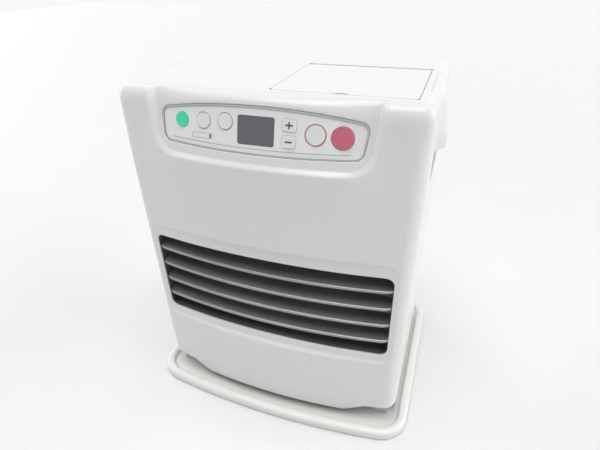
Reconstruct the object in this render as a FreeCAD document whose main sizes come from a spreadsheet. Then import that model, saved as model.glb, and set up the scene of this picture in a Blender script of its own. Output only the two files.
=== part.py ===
import FreeCAD, Part
import math
import os
import re
from types import SimpleNamespace

import Sketcher
from FreeCAD import Placement, Rotation, Vector

# Kerosene fan heater on its tray.
# Millimetres and degrees; X to the right, Y to the back, Z up, floor at z = 0.
SIZES = {
    # Tray that the heater stands in
    "tray_width": 371.0,
    "tray_depth": 299.0,
    "tray_front_radius": 1055.0,
    "tray_corner": 39.0,
    "rim_top": 13.0,
    "rim_width": 13.0,
    "rim_round": 5.5,
    "rim_wall": 2.0,
    "rim_hollow_top": 9.0,
    "tray_lift": 2.0,
    "tray_sheet": 1.5,
    "pad_height": 3.5,
    "pad_radius": 10.0,
    "pad_side_inset": 35.5,
    "pad_front_inset": 49.5,
    "pad_rear_inset": 37.5,
    # Screws and the general fits
    "screw_radius": 2.0,
    "screw_head_radius": 4.0,
    "screw_head": 1.4,
    "screw_length": 10.0,
    "screw_fit": 0.15,
    "seam": 0.3,
    "slide_fit": 0.4,
    # Base pan
    "base_inset": 10.0,
    "base_reach": 8.0,
    "base_rear_inset": 9.0,
    "base_top": 34.0,
    "base_sheet": 1.5,
    "boss_radius": 6.0,
    "boss_side_inset": 38.0,
    "boss_front_inset": 30.0,
    "boss_rear_inset": 21.0,
    # Casing
    "overall_height": 429.0,
    "body_width": 336.0,
    "front_y": -128.5,
    "front_radius": 800.0,
    "front_corner": 18.0,
    "top_round": 12.0,
    "rear_corner": 13.0,
    "body_rear": 115.0,
    "panel_wall": 2.5,
    "panel_return": 18.66,
    "panel_low": 15.0,
    "panel_skirt": 28.0,
    "skirt_width": 34.0,
    "dip_slope": 36.0,
    "side_sheet": 1.2,
    "side_flange": 12.0,
    "side_low": 14.0,
    "cover_height": 25.0,
    # Console recess in the upper front
    "console_tilt": 75.5,
    "console_inset": 12.7,
    "console_drop": 25.3,
    "console_radius": 645.0,
    "console_wall": 4.0,
    "recess_low": -42.1,
    "recess_low_radius": 1850.0,
    "recess_half": 117.0,
    "recess_flare": 10.0,
    "recess_reach": 45.0,
    "recess_corner": 25.0,
    # Control film and its bezel
    "film_low": -29.3,
    "film_low_radius": 1300.0,
    "film_low_half": 107.0,
    "film_half": 112.0,
    "film_high": 15.7,
    "film_high_radius": 763.0,
    "film_corner": 8.0,
    "film_sheet": 1.0,
    "film_sink": 2.5,
    "bezel_width": 1.5,
    "bezel_drop": 0.6,
    # Display window
    "display_x": 1.2,
    "display_v": -6.8,
    "display_width": 38.8,
    "display_height": 27.8,
    "display_thick": 3.0,
    "display_proud": 0.2,
    "display_corner": 2.0,
    # Keys, by their place on the console
    "eco_key_x": -84.6,
    "eco_key_v": -2.8,
    "eco_key_radius": 7.9,
    "timer_key_x": -58.0,
    "timer_key_v": -1.7,
    "timer_key_radius": 7.7,
    "lock_key_x": -32.5,
    "lock_key_v": -0.5,
    "lock_key_radius": 7.9,
    "extend_key_x": 61.9,
    "extend_key_v": -5.7,
    "extend_key_radius": 9.4,
    "run_key_x": 87.6,
    "run_key_v": -6.3,
    "run_key_radius": 10.8,
    "step_key_x": 36.0,
    "plus_key_v": 1.4,
    "minus_key_v": -14.4,
    "step_key_width": 14.3,
    "step_key_height": 11.8,
    "step_key_corner": 2.5,
    "key_proud": 1.0,
    "key_crown": 0.6,
    "key_flange": 1.2,
    "key_flange_thick": 1.5,
    "key_travel": 1.2,
    "key_fit": 0.3,
    "stem_radius": 3.0,
    # Control board
    "board_depth": 22.0,
    "board_thick": 1.6,
    "board_half": 100.0,
    "board_low": -31.0,
    "board_high": 13.0,
    "post_radius": 3.0,
    "post_inset": 5.0,
    "post_bite": 0.8,
    "switch_side": 6.0,
    "switch_height": 5.0,
    # Outlet window, its dish and the louvres
    "window_margin": 17.5,
    "window_low": 129.4,
    "window_high": 246.5,
    "window_corner": 10.0,
    "dish_radius": 1090.0,
    "dish_depth": 4.9,
    "dish_margin": 10.0,
    "dish_side_margin": 3.5,
    "dish_corner": 14.0,
    "sleeve_fit": 1.5,
    "sleeve_sheet": 1.5,
    "sleeve_flange": 4.5,
    "louvre_low_gap": 18.1,
    "louvre_high_gap": 24.0,
    "louvre_inset": 1.3,
    "louvre_depth": 28.0,
    "louvre_rise": 15.0,
    "louvre_edge": 4.0,
    "louvre_sheet": 2.6,
    "louvre_bend": 5.0,
    "louvre_round": 1.2,
    # Tank lid and hatch
    "lid_left": 4.0,
    "lid_side_margin": 18.0,
    "lid_front_gap": 9.0,
    "lid_thick": 6.0,
    "lid_wall": 2.5,
    "lid_corner": 5.0,
    "hinge_y": 41.0,
    "hinge_radius": 5.0,
    "hinge_pin_radius": 1.6,
    "hinge_pin_reach": 8.0,
    "lid_gap": 0.7,
    "hatch_ledge": 4.0,
    "hatch_wall": 2.5,
    "hatch_depth": 15.0,
    "notch_radius": 11.0,
    "notch_depth": 3.0,
    "notch_outside": 6.6,
    # Carry grips
    "grip_front": -50.0,
    "grip_rear": 30.0,
    "grip_top_width": 10.0,
    "grip_depth": 22.0,
    "grip_cup_drop": 17.0,
    "grip_height": 107.0,
    "grip_flare": 10.5,
    "grip_lip_height": 61.0,
    "grip_lip_band": 14.0,
    "grip_wall": 3.0,
    "grip_lip_wall": 4.0,
    "grip_lip_round": 2.4,
    "grip_brow": 1.0,
    "grip_slope": 6.0,
    "grip_round": 9.0,
    # Rear
    "rear_sheet": 1.5,
    "rear_screw_inset": 7.5,
    "rear_screw_low": 60.0,
    "rear_screw_drop": 89.0,
    "fan_side_gap": 16.0,
    "fan_z": 205.0,
    "fan_hole_gap": 8.0,
    "guard_lap": 6.0,
    "guard_bar": 3.0,
    "guard_depth": 3.5,
    "guard_rings": 5,
    "guard_spokes": 8,
    "filter_lap": 4.0,
    "filter_end_lap": 9.0,
    "filter_thick": 4.0,
    "filter_border": 7.0,
    "filter_bar": 2.0,
    "filter_cells": 9,
    "filter_knob": 14.0,
    "rail_wall": 2.0,
    "rail_lip": 4.0,
    "sensor_inset": 50.0,
    "sensor_z": 110.0,
    "sensor_width": 16.0,
    "sensor_height": 26.0,
    "sensor_depth": 9.0,
    "sensor_wall": 3.0,
    "gland_inset": 40.0,
    "gland_z": 52.0,
    "gland_radius": 11.0,
    "gland_neck": 7.5,
    "gland_bore": 3.6,
    "gland_depth": 5.0,
    # Heat shield, electrics plate, main board, transformer
    "inner_sheet": 1.2,
    "shield_left": -6.0,
    "shield_low": 60.0,
    "plate_gap": 11.5,
    "plate_drop": 73.0,
    "main_board_inset": 28.0,
    "transformer_gap": 22.0,
    "main_board_margin": 6.0,
    "main_board_gap": 6.0,
    "transformer_inset": 90.0,
    "transformer_width": 44.0,
    "transformer_height": 42.0,
    "transformer_depth": 20.0,
    "winding_inset": 11.0,
    "winding_overhang": 5.0,
    "winding_depth": 24.0,
    # Burner group
    "burner_y": -30.0,
    "box_inset": 16.0,
    "shield_gap": 2.0,
    "box_rear": 28.0,
    "box_drop": 17.4,
    "box_rise": 9.5,
    "box_leg": 9.0,
    "box_slots": 5,
    "box_slot_height": 12.0,
    "box_slot_margin": 14.0,
    "burner_radius": 40.0,
    "burner_pot": 16.0,
    "burner_ring_radius": 33.0,
    "burner_ring": 26.0,
    "mixing_radius": 15.0,
    "mixing_wall": 2.0,
    "mixing_drop": 23.0,
    "nozzle_reach": 20.0,
    "vaporiser_radius": 15.0,
    "vaporiser_front": -62.0,
    "vaporiser_rear": 6.0,
    "vaporiser_foot": 20.0,
    "nozzle_radius": 5.0,
    "nozzle_gap": 3.0,
    "inlet_radius": 4.5,
    "inlet_reach": 7.0,
    "inlet_offset": 10.0,
    "needle_radius": 2.8,
    "needle_tip": -36.0,
    "plunger_radius": 4.1,
    "plunger_length": 22.0,
    "needle_travel": 2.5,
    "solenoid_radius": 15.0,
    "solenoid_length": 40.0,
    "electrode_spread": 26.0,
    "electrode_radius": 3.0,
    "electrode_flange": 7.0,
    "electrode_drop": 20.0,
    "electrode_rise": 38.0,
    "electrode_tip": 18.0,
    "tip_radius": 1.2,
    # Fuel: sump, strainer, float, pump, pipe
    "sump_margin": 4.0,
    "sump_rear_gap": 15.0,
    "sump_top": 78.0,
    "sump_wall": 1.5,
    "strainer_radius": 29.0,
    "strainer_wall": 1.0,
    "strainer_low": 44.0,
    "strainer_flange": 4.0,
    "strainer_rim": 1.2,
    "cap_radius": 26.0,
    "cap_low": 54.0,
    "neck_radius": 21.2,
    "neck_wall": 3.0,
    "neck_low": 58.0,
    "level_inset": 33.0,
    "level_stem": 3.0,
    "level_low": 40.0,
    "level_head_radius": 17.0,
    "level_head": 8.0,
    "float_radius": 12.0,
    "float_low": 46.0,
    "float_height": 13.0,
    "pump_inset": 52.0,
    "pump_rear_inset": 30.0,
    "pump_radius": 18.0,
    "pump_top": 122.0,
    "pump_inlet_radius": 10.0,
    "pump_inlet_low": 46.0,
    "pump_bore": 6.0,
    "pump_bore_low": 56.0,
    "pump_bore_high": 112.0,
    "pump_plunger_low": 66.0,
    "pump_plunger_length": 34.0,
    "pump_outlet_z": 105.0,
    "pump_outlet_reach": 6.0,
    "pipe_radius": 2.5,
    "pipe_bend": 10.0,
    # Cartridge tank
    "tank_fit": 2.0,
    "tank_headroom": 29.0,
    "tank_wall": 1.0,
    "tank_corner": 12.0,
    "handle_length": 52.0,
    "handle_width": 16.0,
    "handle_height": 14.0,
    "handle_bar": 5.0,
    "handle_post": 8.0,
    # Fan group
    "fan_radius": 70.0,
    "fan_depth": 22.0,
    "fan_inset": 9.0,
    "fan_hub": 16.0,
    "fan_blades": 5,
    "fan_chord": 34.0,
    "fan_pitch": 32.0,
    "fan_blade_thick": 2.4,
    "fan_tip_gap": 4.0,
    "shroud_wall": 2.0,
    "shroud_flange": 6.0,
    "arm_width": 12.0,
    "arm_thick": 3.0,
    "motor_radius": 30.0,
    "motor_length": 34.0,
    "shaft_radius": 3.0,
    "shaft_bore": 3.4,
    "shaft_seat": 24.0,
}

# Places and sizes that follow from the ones above, each after those it needs
FITS = {
    "pad_side": "tray_width / 2 - pad_side_inset",
    "pad_front": "pad_front_inset - tray_depth / 2",
    "pad_rear": "tray_depth / 2 - pad_rear_inset",
    "panel_seam": "front_y + front_radius - sqrt(front_radius ^ 2 - body_width ^ 2 / 4) + panel_return",
    "base_width": "body_width - 2 * base_inset",
    "base_front": "panel_seam - base_reach",
    "base_rear": "body_rear - base_rear_inset",
    "boss_side": "base_width / 2 - boss_side_inset",
    "boss_front": "base_front + boss_front_inset",
    "boss_rear": "base_rear - boss_rear_inset",
    "side_top": "overall_height - cover_height",
    "dip_half": "body_width / 2 - skirt_width - dip_slope",
    "console_y": "front_y + console_inset",
    "console_z": "overall_height - console_drop",
    "window_half": "body_width / 2 - window_margin",
    "dish_y": "front_y + dish_depth",
    "louvre_first": "window_low + louvre_low_gap",
    "louvre_pitch": "(window_high - louvre_high_gap - louvre_first) / 3",
    "louvre_y": "dish_y + louvre_inset",
    "lid_right": "body_width / 2 - lid_side_margin",
    "lid_front": "panel_seam + lid_front_gap",
    "hatch_low": "overall_height - hatch_depth",
    "grip_seam": "body_width / 2 - grip_top_width",
    "grip_inner": "body_width / 2 - grip_depth",
    "grip_cup_top": "overall_height - grip_cup_drop",
    "grip_low": "overall_height - grip_height",
    "grip_lip": "body_width / 2 + grip_flare",
    "grip_lip_low": "overall_height - grip_lip_height",
    "rear_screw_side": "body_width / 2 - rear_screw_inset",
    "rear_screw_high": "overall_height - rear_screw_drop",
    "shroud_inner": "fan_radius + fan_tip_gap",
    "fan_x": "shroud_inner + shroud_wall + shroud_flange + fan_side_gap - body_width / 2",
    "fan_hole": "fan_radius + fan_hole_gap",
    "guard_radius": "fan_hole + guard_lap",
    "filter_half_width": "fan_hole + filter_lap",
    "filter_half_height": "filter_half_width + filter_end_lap",
    "sensor_x": "body_width / 2 - sensor_inset",
    "gland_x": "body_width / 2 - gland_inset",
    "plate_low": "window_high + plate_gap",
    "plate_high": "overall_height - plate_drop",
    "transformer_left": "body_width / 2 - transformer_inset",
    "transformer_low": "(plate_low + plate_high - transformer_height) / 2",
    "main_board_left": "main_board_inset - body_width / 2",
    "main_board_right": "transformer_left - transformer_gap",
    "main_board_low": "plate_low + main_board_margin",
    "main_board_high": "plate_high - main_board_margin",
    "box_left": "box_inset - body_width / 2",
    "box_right": "shield_left - shield_gap",
    "box_low": "window_low - box_drop",
    "box_high": "window_high + box_rise",
    "burner_x": "(box_left + box_right) / 2",
    "mixing_low": "box_low - mixing_drop",
    "nozzle_top": "mixing_low - nozzle_gap",
    "vaporiser_z": "nozzle_top - nozzle_reach",
    "electrode_low": "box_low - electrode_drop",
    "electrode_high": "box_low + electrode_rise",
    "inlet_y": "burner_y + inlet_offset",
    "tank_left": "lid_left + hatch_ledge + tank_fit",
    "tank_right": "lid_right - hatch_ledge - tank_fit",
    "tank_front": "lid_front + hatch_ledge + tank_fit",
    "tank_rear": "hinge_y - hinge_radius - lid_gap - tank_fit",
    "tank_top": "overall_height - tank_headroom",
    "sump_left": "tank_left - sump_margin",
    "sump_right": "tank_right + sump_margin",
    "sump_front": "tank_front - sump_margin",
    "sump_rear": "body_rear - sump_rear_gap",
    "fill_x": "(tank_left + tank_right) / 2",
    "fill_y": "(tank_front + tank_rear) / 2",
    "level_x": "sump_right - level_inset",
    "level_y": "sump_rear - pump_rear_inset",
    "pump_x": "sump_left + pump_inset",
    "pump_y": "sump_rear - pump_rear_inset",
    "pipe_drop_x": "(box_right + sump_left) / 2",
    "fan_rear": "body_rear - fan_inset",
    "fan_front": "fan_rear - fan_depth",
}

doc = FreeCAD.newDocument("fan_heater")
sheet = doc.addObject("Spreadsheet::Sheet", "dims")
for row, (name, value) in enumerate(SIZES.items(), 1):
    sheet.set(f"A{row}", name)
    sheet.set(f"B{row}", str(value))
    sheet.setAlias(f"B{row}", name)
doc.recompute()


# Shared ways of making pieces

def cells(text):
    """An expression with each name pointing at its cell or at its fitted value."""

    def holder(word):
        if word[0] in SIZES:
            return "dims." + word[0]
        return "fits." + word[0] if word[0] in FITS else word[0]

    return re.sub(r"[a-z_]+", holder, text)


fits = doc.addObject("App::FeaturePython", "fits")
for name, expression in FITS.items():
    fits.addProperty("App::PropertyFloat", name)
    fits.setExpression(name, cells(expression))
doc.recompute()
size = SimpleNamespace(**{name: float(sheet.get(name)) for name in SIZES})
vars(size).update({name: getattr(fits, name) for name in FITS})
nodes = []


def bind(thing, **expressions):
    """Ties properties to sizes; a double underscore stands for a dot."""
    for path, text in expressions.items():
        thing.setExpression(path.replace("__", "."), cells(str(text)))
    return thing


def node(label, thing):
    """Marks an object as a finished sub-part under its own label."""
    thing.Label = label
    nodes.append(thing)
    return thing


def block(x, y, z):
    """A box between two corners, given as pairs of expressions."""
    box = doc.addObject("Part::Box", "block")
    (left, right), (front, rear), (low, high) = x, y, z
    bind(box, Length=f"({right}) - ({left})", Width=f"({rear}) - ({front})", Height=f"({high}) - ({low})")
    return bind(box, Placement__Base__x=left, Placement__Base__y=front, Placement__Base__z=low)


AXES = {
    "x": Rotation(Vector(0, 1, 0), 90),
    "y": Rotation(Vector(1, 0, 0), -90),
    "z": Rotation(),
}


def rod(axis, radius, start, finish, across):
    """A cylinder along an axis; across gives its place in the two other directions, in X Y Z order."""
    cylinder = doc.addObject("Part::Cylinder", "rod")
    cylinder.Placement = Placement(Vector(), AXES[axis])
    places = list(across)
    places.insert("xyz".index(axis), start)
    bind(cylinder, Radius=radius, Height=f"({finish}) - ({start})")
    x, y, z = places
    return bind(cylinder, Placement__Base__x=x, Placement__Base__y=y, Placement__Base__z=z)


def fused(*pieces):
    joined = doc.addObject("Part::MultiFuse", "joined")
    joined.Shapes = list(pieces)
    return joined


def less(base, *tools):
    remainder = doc.addObject("Part::Cut", "remainder")
    remainder.Base = base
    remainder.Tool = tools[0] if len(tools) == 1 else fused(*tools)
    return remainder


def group(*pieces):
    """Like pieces that share a node as separate solids."""
    compound = doc.addObject("Part::Compound", "group")
    compound.Links = list(pieces)
    return compound


def formed(label, shape):
    """A piece whose form no primitive has."""
    feature = doc.addObject("Part::Feature", label)
    feature.Shape = shape
    return node(label, feature)


def plate(label, width, height, thick, corner, holes=()):
    """A flat sheet in the XZ plane, sketched with its round holes and padded towards the back."""
    body = doc.addObject("PartDesign::Body", label)
    sketch = body.newObject("Sketcher::SketchObject", label + "_outline")
    upright = next(plane for plane in body.Origin.OriginFeatures if plane.Role == "XZ_Plane")
    sketch.AttachmentSupport = [(upright, "")]
    sketch.MapMode = "FlatFace"
    draft = [Vector(0, 0), Vector(10, 0), Vector(10, 10), Vector(0, 10)]
    for side in range(4):
        sketch.addGeometry(Part.LineSegment(draft[side], draft[(side + 1) % 4]))
    for side in range(4):
        sketch.addConstraint(Sketcher.Constraint("Coincident", side, 2, (side + 1) % 4, 1))
        sketch.addConstraint(Sketcher.Constraint(("Horizontal", "Vertical")[side % 2], side))
    sketch.addConstraint(Sketcher.Constraint("Coincident", 0, 1, -1, 1))

    def measure(kind, *places, expression):
        index = sketch.addConstraint(Sketcher.Constraint(kind, *places))
        sketch.setExpression(f"Constraints[{index}]", cells(expression))

    measure("DistanceX", 0, 1, 0, 2, 10.0, expression=width)
    measure("DistanceY", 1, 1, 1, 2, 10.0, expression=height)
    for across, up, radius in holes:
        circle = sketch.addGeometry(Part.Circle(Vector(5, 5, 0), Vector(0, 0, 1), 1.0))
        measure("DistanceX", -1, 1, circle, 3, 5.0, expression=across)
        measure("DistanceY", -1, 1, circle, 3, 5.0, expression=up)
        measure("Radius", circle, 1.0, expression=radius)
    pad = body.newObject("PartDesign::Pad", label + "_sheet")
    pad.Profile = sketch
    pad.Reversed = True
    pad.setExpression("Length", cells(thick))
    left, front, low = corner
    bind(body, Placement__Base__x=left, Placement__Base__y=front, Placement__Base__z=low)
    return node(label, body)


def edges_where(shape, test):
    """The edges whose first, middle and last points all pass a test."""
    found = []
    for edge in shape.Edges:
        first, last = edge.ParameterRange
        points = [edge.valueAt(place) for place in (first, (first + last) / 2, last)]
        if all(test(point) for point in points):
            found.append(edge)
    return found


def uprights(shape, test=lambda point: True):
    """The straight edges along Z whose places pass a test."""
    found = []
    for edge in shape.Edges:
        first, last = edge.Vertexes[0].Point, edge.Vertexes[-1].Point
        if abs(first.x - last.x) + abs(first.y - last.y) < 1e-6 and test(first):
            found.append(edge)
    return found


def near(value, target):
    return abs(value - target) < 1e-4


def outline(*edges):
    """A face inside edges given as point pairs, or triples for an arc through the middle point."""
    drawn = []
    for points in edges:
        vectors = [Vector(*point) for point in points]
        drawn.append(Part.Arc(*vectors).toShape() if len(vectors) == 3 else Part.makeLine(*vectors))
    return Part.Face(Part.Wire(drawn))


def polygon(*points):
    return Part.Face(Part.makePolygon([Vector(*point) for point in points + points[:1]]))


def bow(radius, across):
    """How far an arc falls back at a distance from its middle."""
    return radius - math.sqrt(radius * radius - across * across)


def bowed_prism(half, front, radius, rear, low, high):
    """An upright block whose front face is bowed forward."""
    corner = front + bow(radius, half)
    face = outline(
        ((-half, corner, low), (0, front, low), (half, corner, low)),
        ((half, corner, low), (half, rear, low)),
        ((half, rear, low), (-half, rear, low)),
        ((-half, rear, low), (-half, corner, low)),
    )
    return face.extrude(Vector(0, 0, high - low))


def brick(x, y, z):
    """A plain box shape between two corners."""
    return Part.makeBox(x[1] - x[0], y[1] - y[0], z[1] - z[0], Vector(x[0], y[0], z[0]))


def mirrored(shape):
    return shape.mirror(Vector(), Vector(1, 0, 0))


# Tray: pressed sheet with a hollow rounded rim, a bowed front and a flat floor

tray_half = size.tray_width / 2
tray_reach = size.tray_depth / 2
tray_floor = size.pad_height + size.tray_sheet


def tray_block(inset, low, high):
    solid = bowed_prism(
        tray_half - inset, inset - tray_reach, size.tray_front_radius - inset, tray_reach - inset, low, high)
    return solid.makeFillet(size.tray_corner - inset, uprights(solid))


tray = tray_block(0, size.tray_lift, size.rim_top)
tray = tray.cut(tray_block(size.rim_width, tray_floor, size.rim_top + 1))
tray = tray.makeFillet(size.rim_round, edges_where(tray, lambda point: near(point.z, size.rim_top)))
tray = tray.cut(tray_block(size.rim_wall, 0, size.pad_height))
rim_hollow = tray_block(size.rim_wall, 0, size.rim_hollow_top)
rim_hollow = rim_hollow.cut(tray_block(size.rim_width - size.rim_wall, 0, size.rim_hollow_top + 1))
tray = tray.cut(rim_hollow)
boss_places = [(side * size.boss_side, y) for side in (-1, 1) for y in (size.boss_front, size.boss_rear)]
for x, y in boss_places:
    tray = tray.cut(Part.makeCylinder(size.screw_radius + size.screw_fit, tray_floor + 1, Vector(x, y, 0)))
formed("tray", tray)

pads = []
for side in (-1, 1):
    for place in ("pad_front", "pad_rear"):
        pads.append(rod("z", "pad_radius", "0", "pad_height", (f"{side} * pad_side", place)))
node("tray_pads", group(*pads))

# Base pan: pressed pan, open below, with bosses that the tray's screws enter

base_low = "pad_height + tray_sheet"
shell = less(
    block(("-base_width / 2", "base_width / 2"), ("base_front", "base_rear"), (base_low, "base_top")),
    block(
        ("-base_width / 2 + base_sheet", "base_width / 2 - base_sheet"),
        ("base_front + base_sheet", "base_rear - base_sheet"),
        ("0", "base_top - base_sheet"),
    ),
)
bosses = []
threads = []
tray_screws = []
for side in (-1, 1):
    for place in ("boss_front", "boss_rear"):
        spot = (f"{side} * boss_side", place)
        bosses.append(rod("z", "boss_radius", base_low, "base_top", spot))
        threads.append(rod("z", "screw_radius + screw_fit", "0", f"{base_low} + screw_length + seam", spot))
        head = rod("z", "screw_head_radius", "pad_height - screw_head", "pad_height", spot)
        shank = rod("z", "screw_radius", "pad_height - screw_head", f"{base_low} + screw_length", spot)
        tray_screws.append(fused(head, shank))
node("base_pan", less(fused(shell, *bosses), *threads))
node("tray_screws", group(*tray_screws))

# Console frame: x across, v up the slope and the outward normal as the third direction

console = Placement(
    Vector(0, size.console_y, size.console_z), Rotation(Vector(1, 0, 0), size.console_tilt))
FAR = 4 * size.console_wall + size.board_depth + size.recess_reach


def console_drum(depth):
    """Everything deeper than a given depth below the bowed console surface."""
    radius = size.console_radius - depth
    start = Vector(0, -2 * FAR, -size.console_radius)
    return Part.makeCylinder(radius, 4 * FAR, start, Vector(0, 1, 0))


def sunk(across):
    """How deep the bowed console surface lies beside its middle."""
    return bow(size.console_radius, across)


def along_normal(face, low=-FAR, high=FAR):
    return face.translated(Vector(0, 0, low)).extrude(Vector(0, 0, high - low))


def recess_block(grow):
    """The recess's U outline, carried through along the console's normal."""
    half = size.recess_half + grow
    low = size.recess_low - grow
    wide = half + size.recess_flare
    high = size.recess_reach
    ends = low + bow(size.recess_low_radius, half)
    solid = along_normal(outline(
        ((-half, ends, 0), (0, low, 0), (half, ends, 0)),
        ((half, ends, 0), (wide, high, 0)),
        ((wide, high, 0), (-wide, high, 0)),
        ((-wide, high, 0), (-half, ends, 0)),
    ))
    lower = uprights(solid, lambda point: near(point.y, ends))
    return solid.makeFillet(size.recess_corner + grow, lower)


def film_block(grow):
    """The control film's lens outline, carried through along the console's normal."""
    low_half = size.film_low_half + grow
    half = size.film_half + grow
    low = size.film_low - grow
    high = size.film_high + grow
    foot = low + bow(size.film_low_radius, low_half)
    shoulder = high - bow(size.film_high_radius, half)
    solid = along_normal(outline(
        ((-low_half, foot, 0), (0, low, 0), (low_half, foot, 0)),
        ((low_half, foot, 0), (half, shoulder, 0)),
        ((half, shoulder, 0), (0, high, 0), (-half, shoulder, 0)),
        ((-half, shoulder, 0), (-low_half, foot, 0)),
    ))
    return solid.makeFillet(size.film_corner + grow, uprights(solid))


def rounded_bar(width, height, corner, x, v, low, high):
    """A rectangle with rounded corners, carried along the console's normal."""
    solid = brick((x - width / 2, x + width / 2), (v - height / 2, v + height / 2), (low, high))
    return solid.makeFillet(corner, uprights(solid))


ROUND_KEYS = ("eco_key", "timer_key", "lock_key", "extend_key", "run_key")
STEP_KEYS = ("plus_key", "minus_key")
by_name = vars(size)
key_places = {name: (by_name[name + "_x"], by_name[name + "_v"]) for name in ROUND_KEYS}
key_places.update({name: (size.step_key_x, by_name[name + "_v"]) for name in STEP_KEYS})


def key_column(name, grow, low, high):
    """A key's cross-section, grown by a fit, between two heights."""
    x, v = key_places[name]
    if name in STEP_KEYS:
        return rounded_bar(
            size.step_key_width + 2 * grow, size.step_key_height + 2 * grow, size.step_key_corner + grow,
            x, v, low, high)
    return Part.makeCylinder(by_name[name + "_radius"] + grow, high - low, Vector(x, v, low))


def key_reach(name):
    """How far a key's flange reaches from the console's middle line."""
    half = size.step_key_width / 2 if name in STEP_KEYS else by_name[name + "_radius"]
    return abs(key_places[name][0]) + half + size.key_flange


def display_bar(grow, low, high):
    return rounded_bar(
        size.display_width + 2 * grow, size.display_height + 2 * grow, size.display_corner + grow,
        size.display_x, size.display_v, low, high)


through = [key_column(name, size.key_fit, -FAR, FAR) for name in key_places]
through.append(display_bar(size.key_fit, -FAR, FAR))

# Front panel: one moulded shell with the console recess, the dished outlet and the dipped lower edge

body_half = size.body_width / 2


def panel_block(inset, low, rear):
    solid = bowed_prism(
        body_half - inset, size.front_y + inset, size.front_radius - inset, rear,
        low, size.overall_height - inset)
    solid = solid.makeFillet(size.front_corner - inset, uprights(solid, lambda point: point.y < rear - 1))
    top = edges_where(solid, lambda point: near(point.z, size.overall_height - inset))
    top = [edge for edge in top if edge.CenterOfMass.y < rear - 1]
    return solid.makeFillet(size.top_round - inset, top)


def rounded_ends(slab, half, low, high, radius):
    """A slab along Y with its four corners rounded."""
    ends = edges_where(
        slab, lambda point: near(abs(point.x), half) and (near(point.z, low) or near(point.z, high)))
    return slab.makeFillet(radius, ends)


def dish_block(grow):
    """The outlet's dish: shallow, flatter than the panel, with rounded ends."""
    half = size.window_half + size.dish_side_margin + grow
    low = size.window_low - size.dish_margin - grow
    high = size.window_high + size.dish_margin + grow
    outside = 2 * size.front_y
    slab = brick((-half, half), (outside, 0), (low, high))
    slab = rounded_ends(slab, half, low, high, size.dish_corner + grow)
    radius = size.dish_radius - grow
    drum = Part.makeCylinder(radius, size.overall_height, Vector(0, size.dish_y + size.dish_radius, 0))
    return slab.cut(drum)


def window_block(inset, front, rear):
    """The outlet window's rounded rectangle, carried along Y."""
    half = size.window_half - inset
    low = size.window_low + inset
    high = size.window_high - inset
    slab = brick((-half, half), (front, rear), (low, high))
    return rounded_ends(slab, half, low, high, size.window_corner - inset)


recess = recess_block(0).cut(console_drum(0))
recess.Placement = console
recess_back = recess_block(size.panel_wall).cut(console_drum(size.console_wall))
recess_back.Placement = console
outside = panel_block(0, size.panel_low, size.panel_seam).cut(recess).cut(dish_block(0))
inside = panel_block(size.panel_wall, 0, 0).cut(recess_back).cut(dish_block(size.panel_wall))
front_panel = outside.cut(inside)
front_panel = front_panel.cut(window_block(0, 2 * size.front_y, size.panel_seam))
corner_gap = polygon(
    (size.dip_half, 2 * size.front_y, size.panel_low),
    (size.dip_half + size.dip_slope, 2 * size.front_y, size.panel_skirt),
    (2 * body_half, 2 * size.front_y, size.panel_skirt),
    (2 * body_half, 2 * size.front_y, 0),
    (size.dip_half, 2 * size.front_y, 0),
).extrude(Vector(0, -2 * size.front_y, 0))
front_panel = front_panel.cut(corner_gap).cut(mirrored(corner_gap))
film_pocket = film_block(size.bezel_width).cut(console_drum(size.film_sink))
openings = film_pocket.fuse(through)
openings.Placement = console
front_panel = front_panel.cut(openings)
posts = []
for x in (-size.board_half + size.post_inset, size.board_half - size.post_inset):
    for v in (size.board_low + size.post_inset, size.board_high - size.post_inset):
        top = -sunk(abs(x) + size.post_radius) - size.film_sink - size.post_bite
        posts.append(Part.makeCylinder(
            size.post_radius, size.board_depth + top, Vector(x, v, -size.board_depth)))
for post in posts:
    post.Placement = console.multiply(post.Placement)
formed("front_panel", front_panel.fuse(posts).removeSplitter())

# Control film, its bezel and the display window

film_top = size.film_sink - size.film_sheet
film = film_block(0).common(console_drum(film_top)).cut(console_drum(size.film_sink)).cut(through)
film.Placement = console
formed("control_film", film)
bezel = film_block(size.bezel_width).cut(film_block(0))
bezel = bezel.common(console_drum(size.bezel_drop)).cut(console_drum(size.film_sink))
bezel.Placement = console
formed("console_bezel", bezel)
display = display_bar(0, -FAR, FAR).common(console_drum(film_top - size.display_proud))
display = display.cut(console_drum(film_top - size.display_proud + size.display_thick))
display.Placement = console
formed("display_window", display)

# Keys: caps through the film, with a flange behind the wall and a stem towards the switch

switch_top = size.switch_height - size.board_depth
for name, (x, v) in key_places.items():
    cap_top = -sunk(abs(x)) - film_top + size.key_proud
    flange_top = -sunk(key_reach(name)) - size.console_wall - size.key_fit
    flange_low = flange_top - size.key_flange_thick
    stem_low = switch_top + size.key_travel + size.key_fit
    cap = key_column(name, 0, flange_low, cap_top)
    key = cap.fuse([
        key_column(name, size.key_flange, flange_low, flange_top),
        Part.makeCylinder(size.stem_radius, flange_top - stem_low, Vector(x, v, stem_low)),
    ]).removeSplitter()
    crown = edges_where(key, lambda point: near(point.z, cap_top))
    key = key.makeFillet(size.key_crown, crown)
    key.Placement = console
    formed(name, key)

# Control board on the panel's posts, and its switches

board = brick(
    (-size.board_half, size.board_half), (size.board_low, size.board_high),
    (-size.board_depth - size.board_thick, -size.board_depth))
board.Placement = console
formed("control_board", board)
switches = []
for x, v in key_places.values():
    half = size.switch_side / 2
    switches.append(brick((x - half, x + half), (v - half, v + half), (-size.board_depth, switch_top)))
switches = Part.makeCompound(switches)
switches.Placement = console
formed("key_switches", switches)

# Top cover: moulded lid of the casing with the tank hatch and a notch for each carry grip

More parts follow.
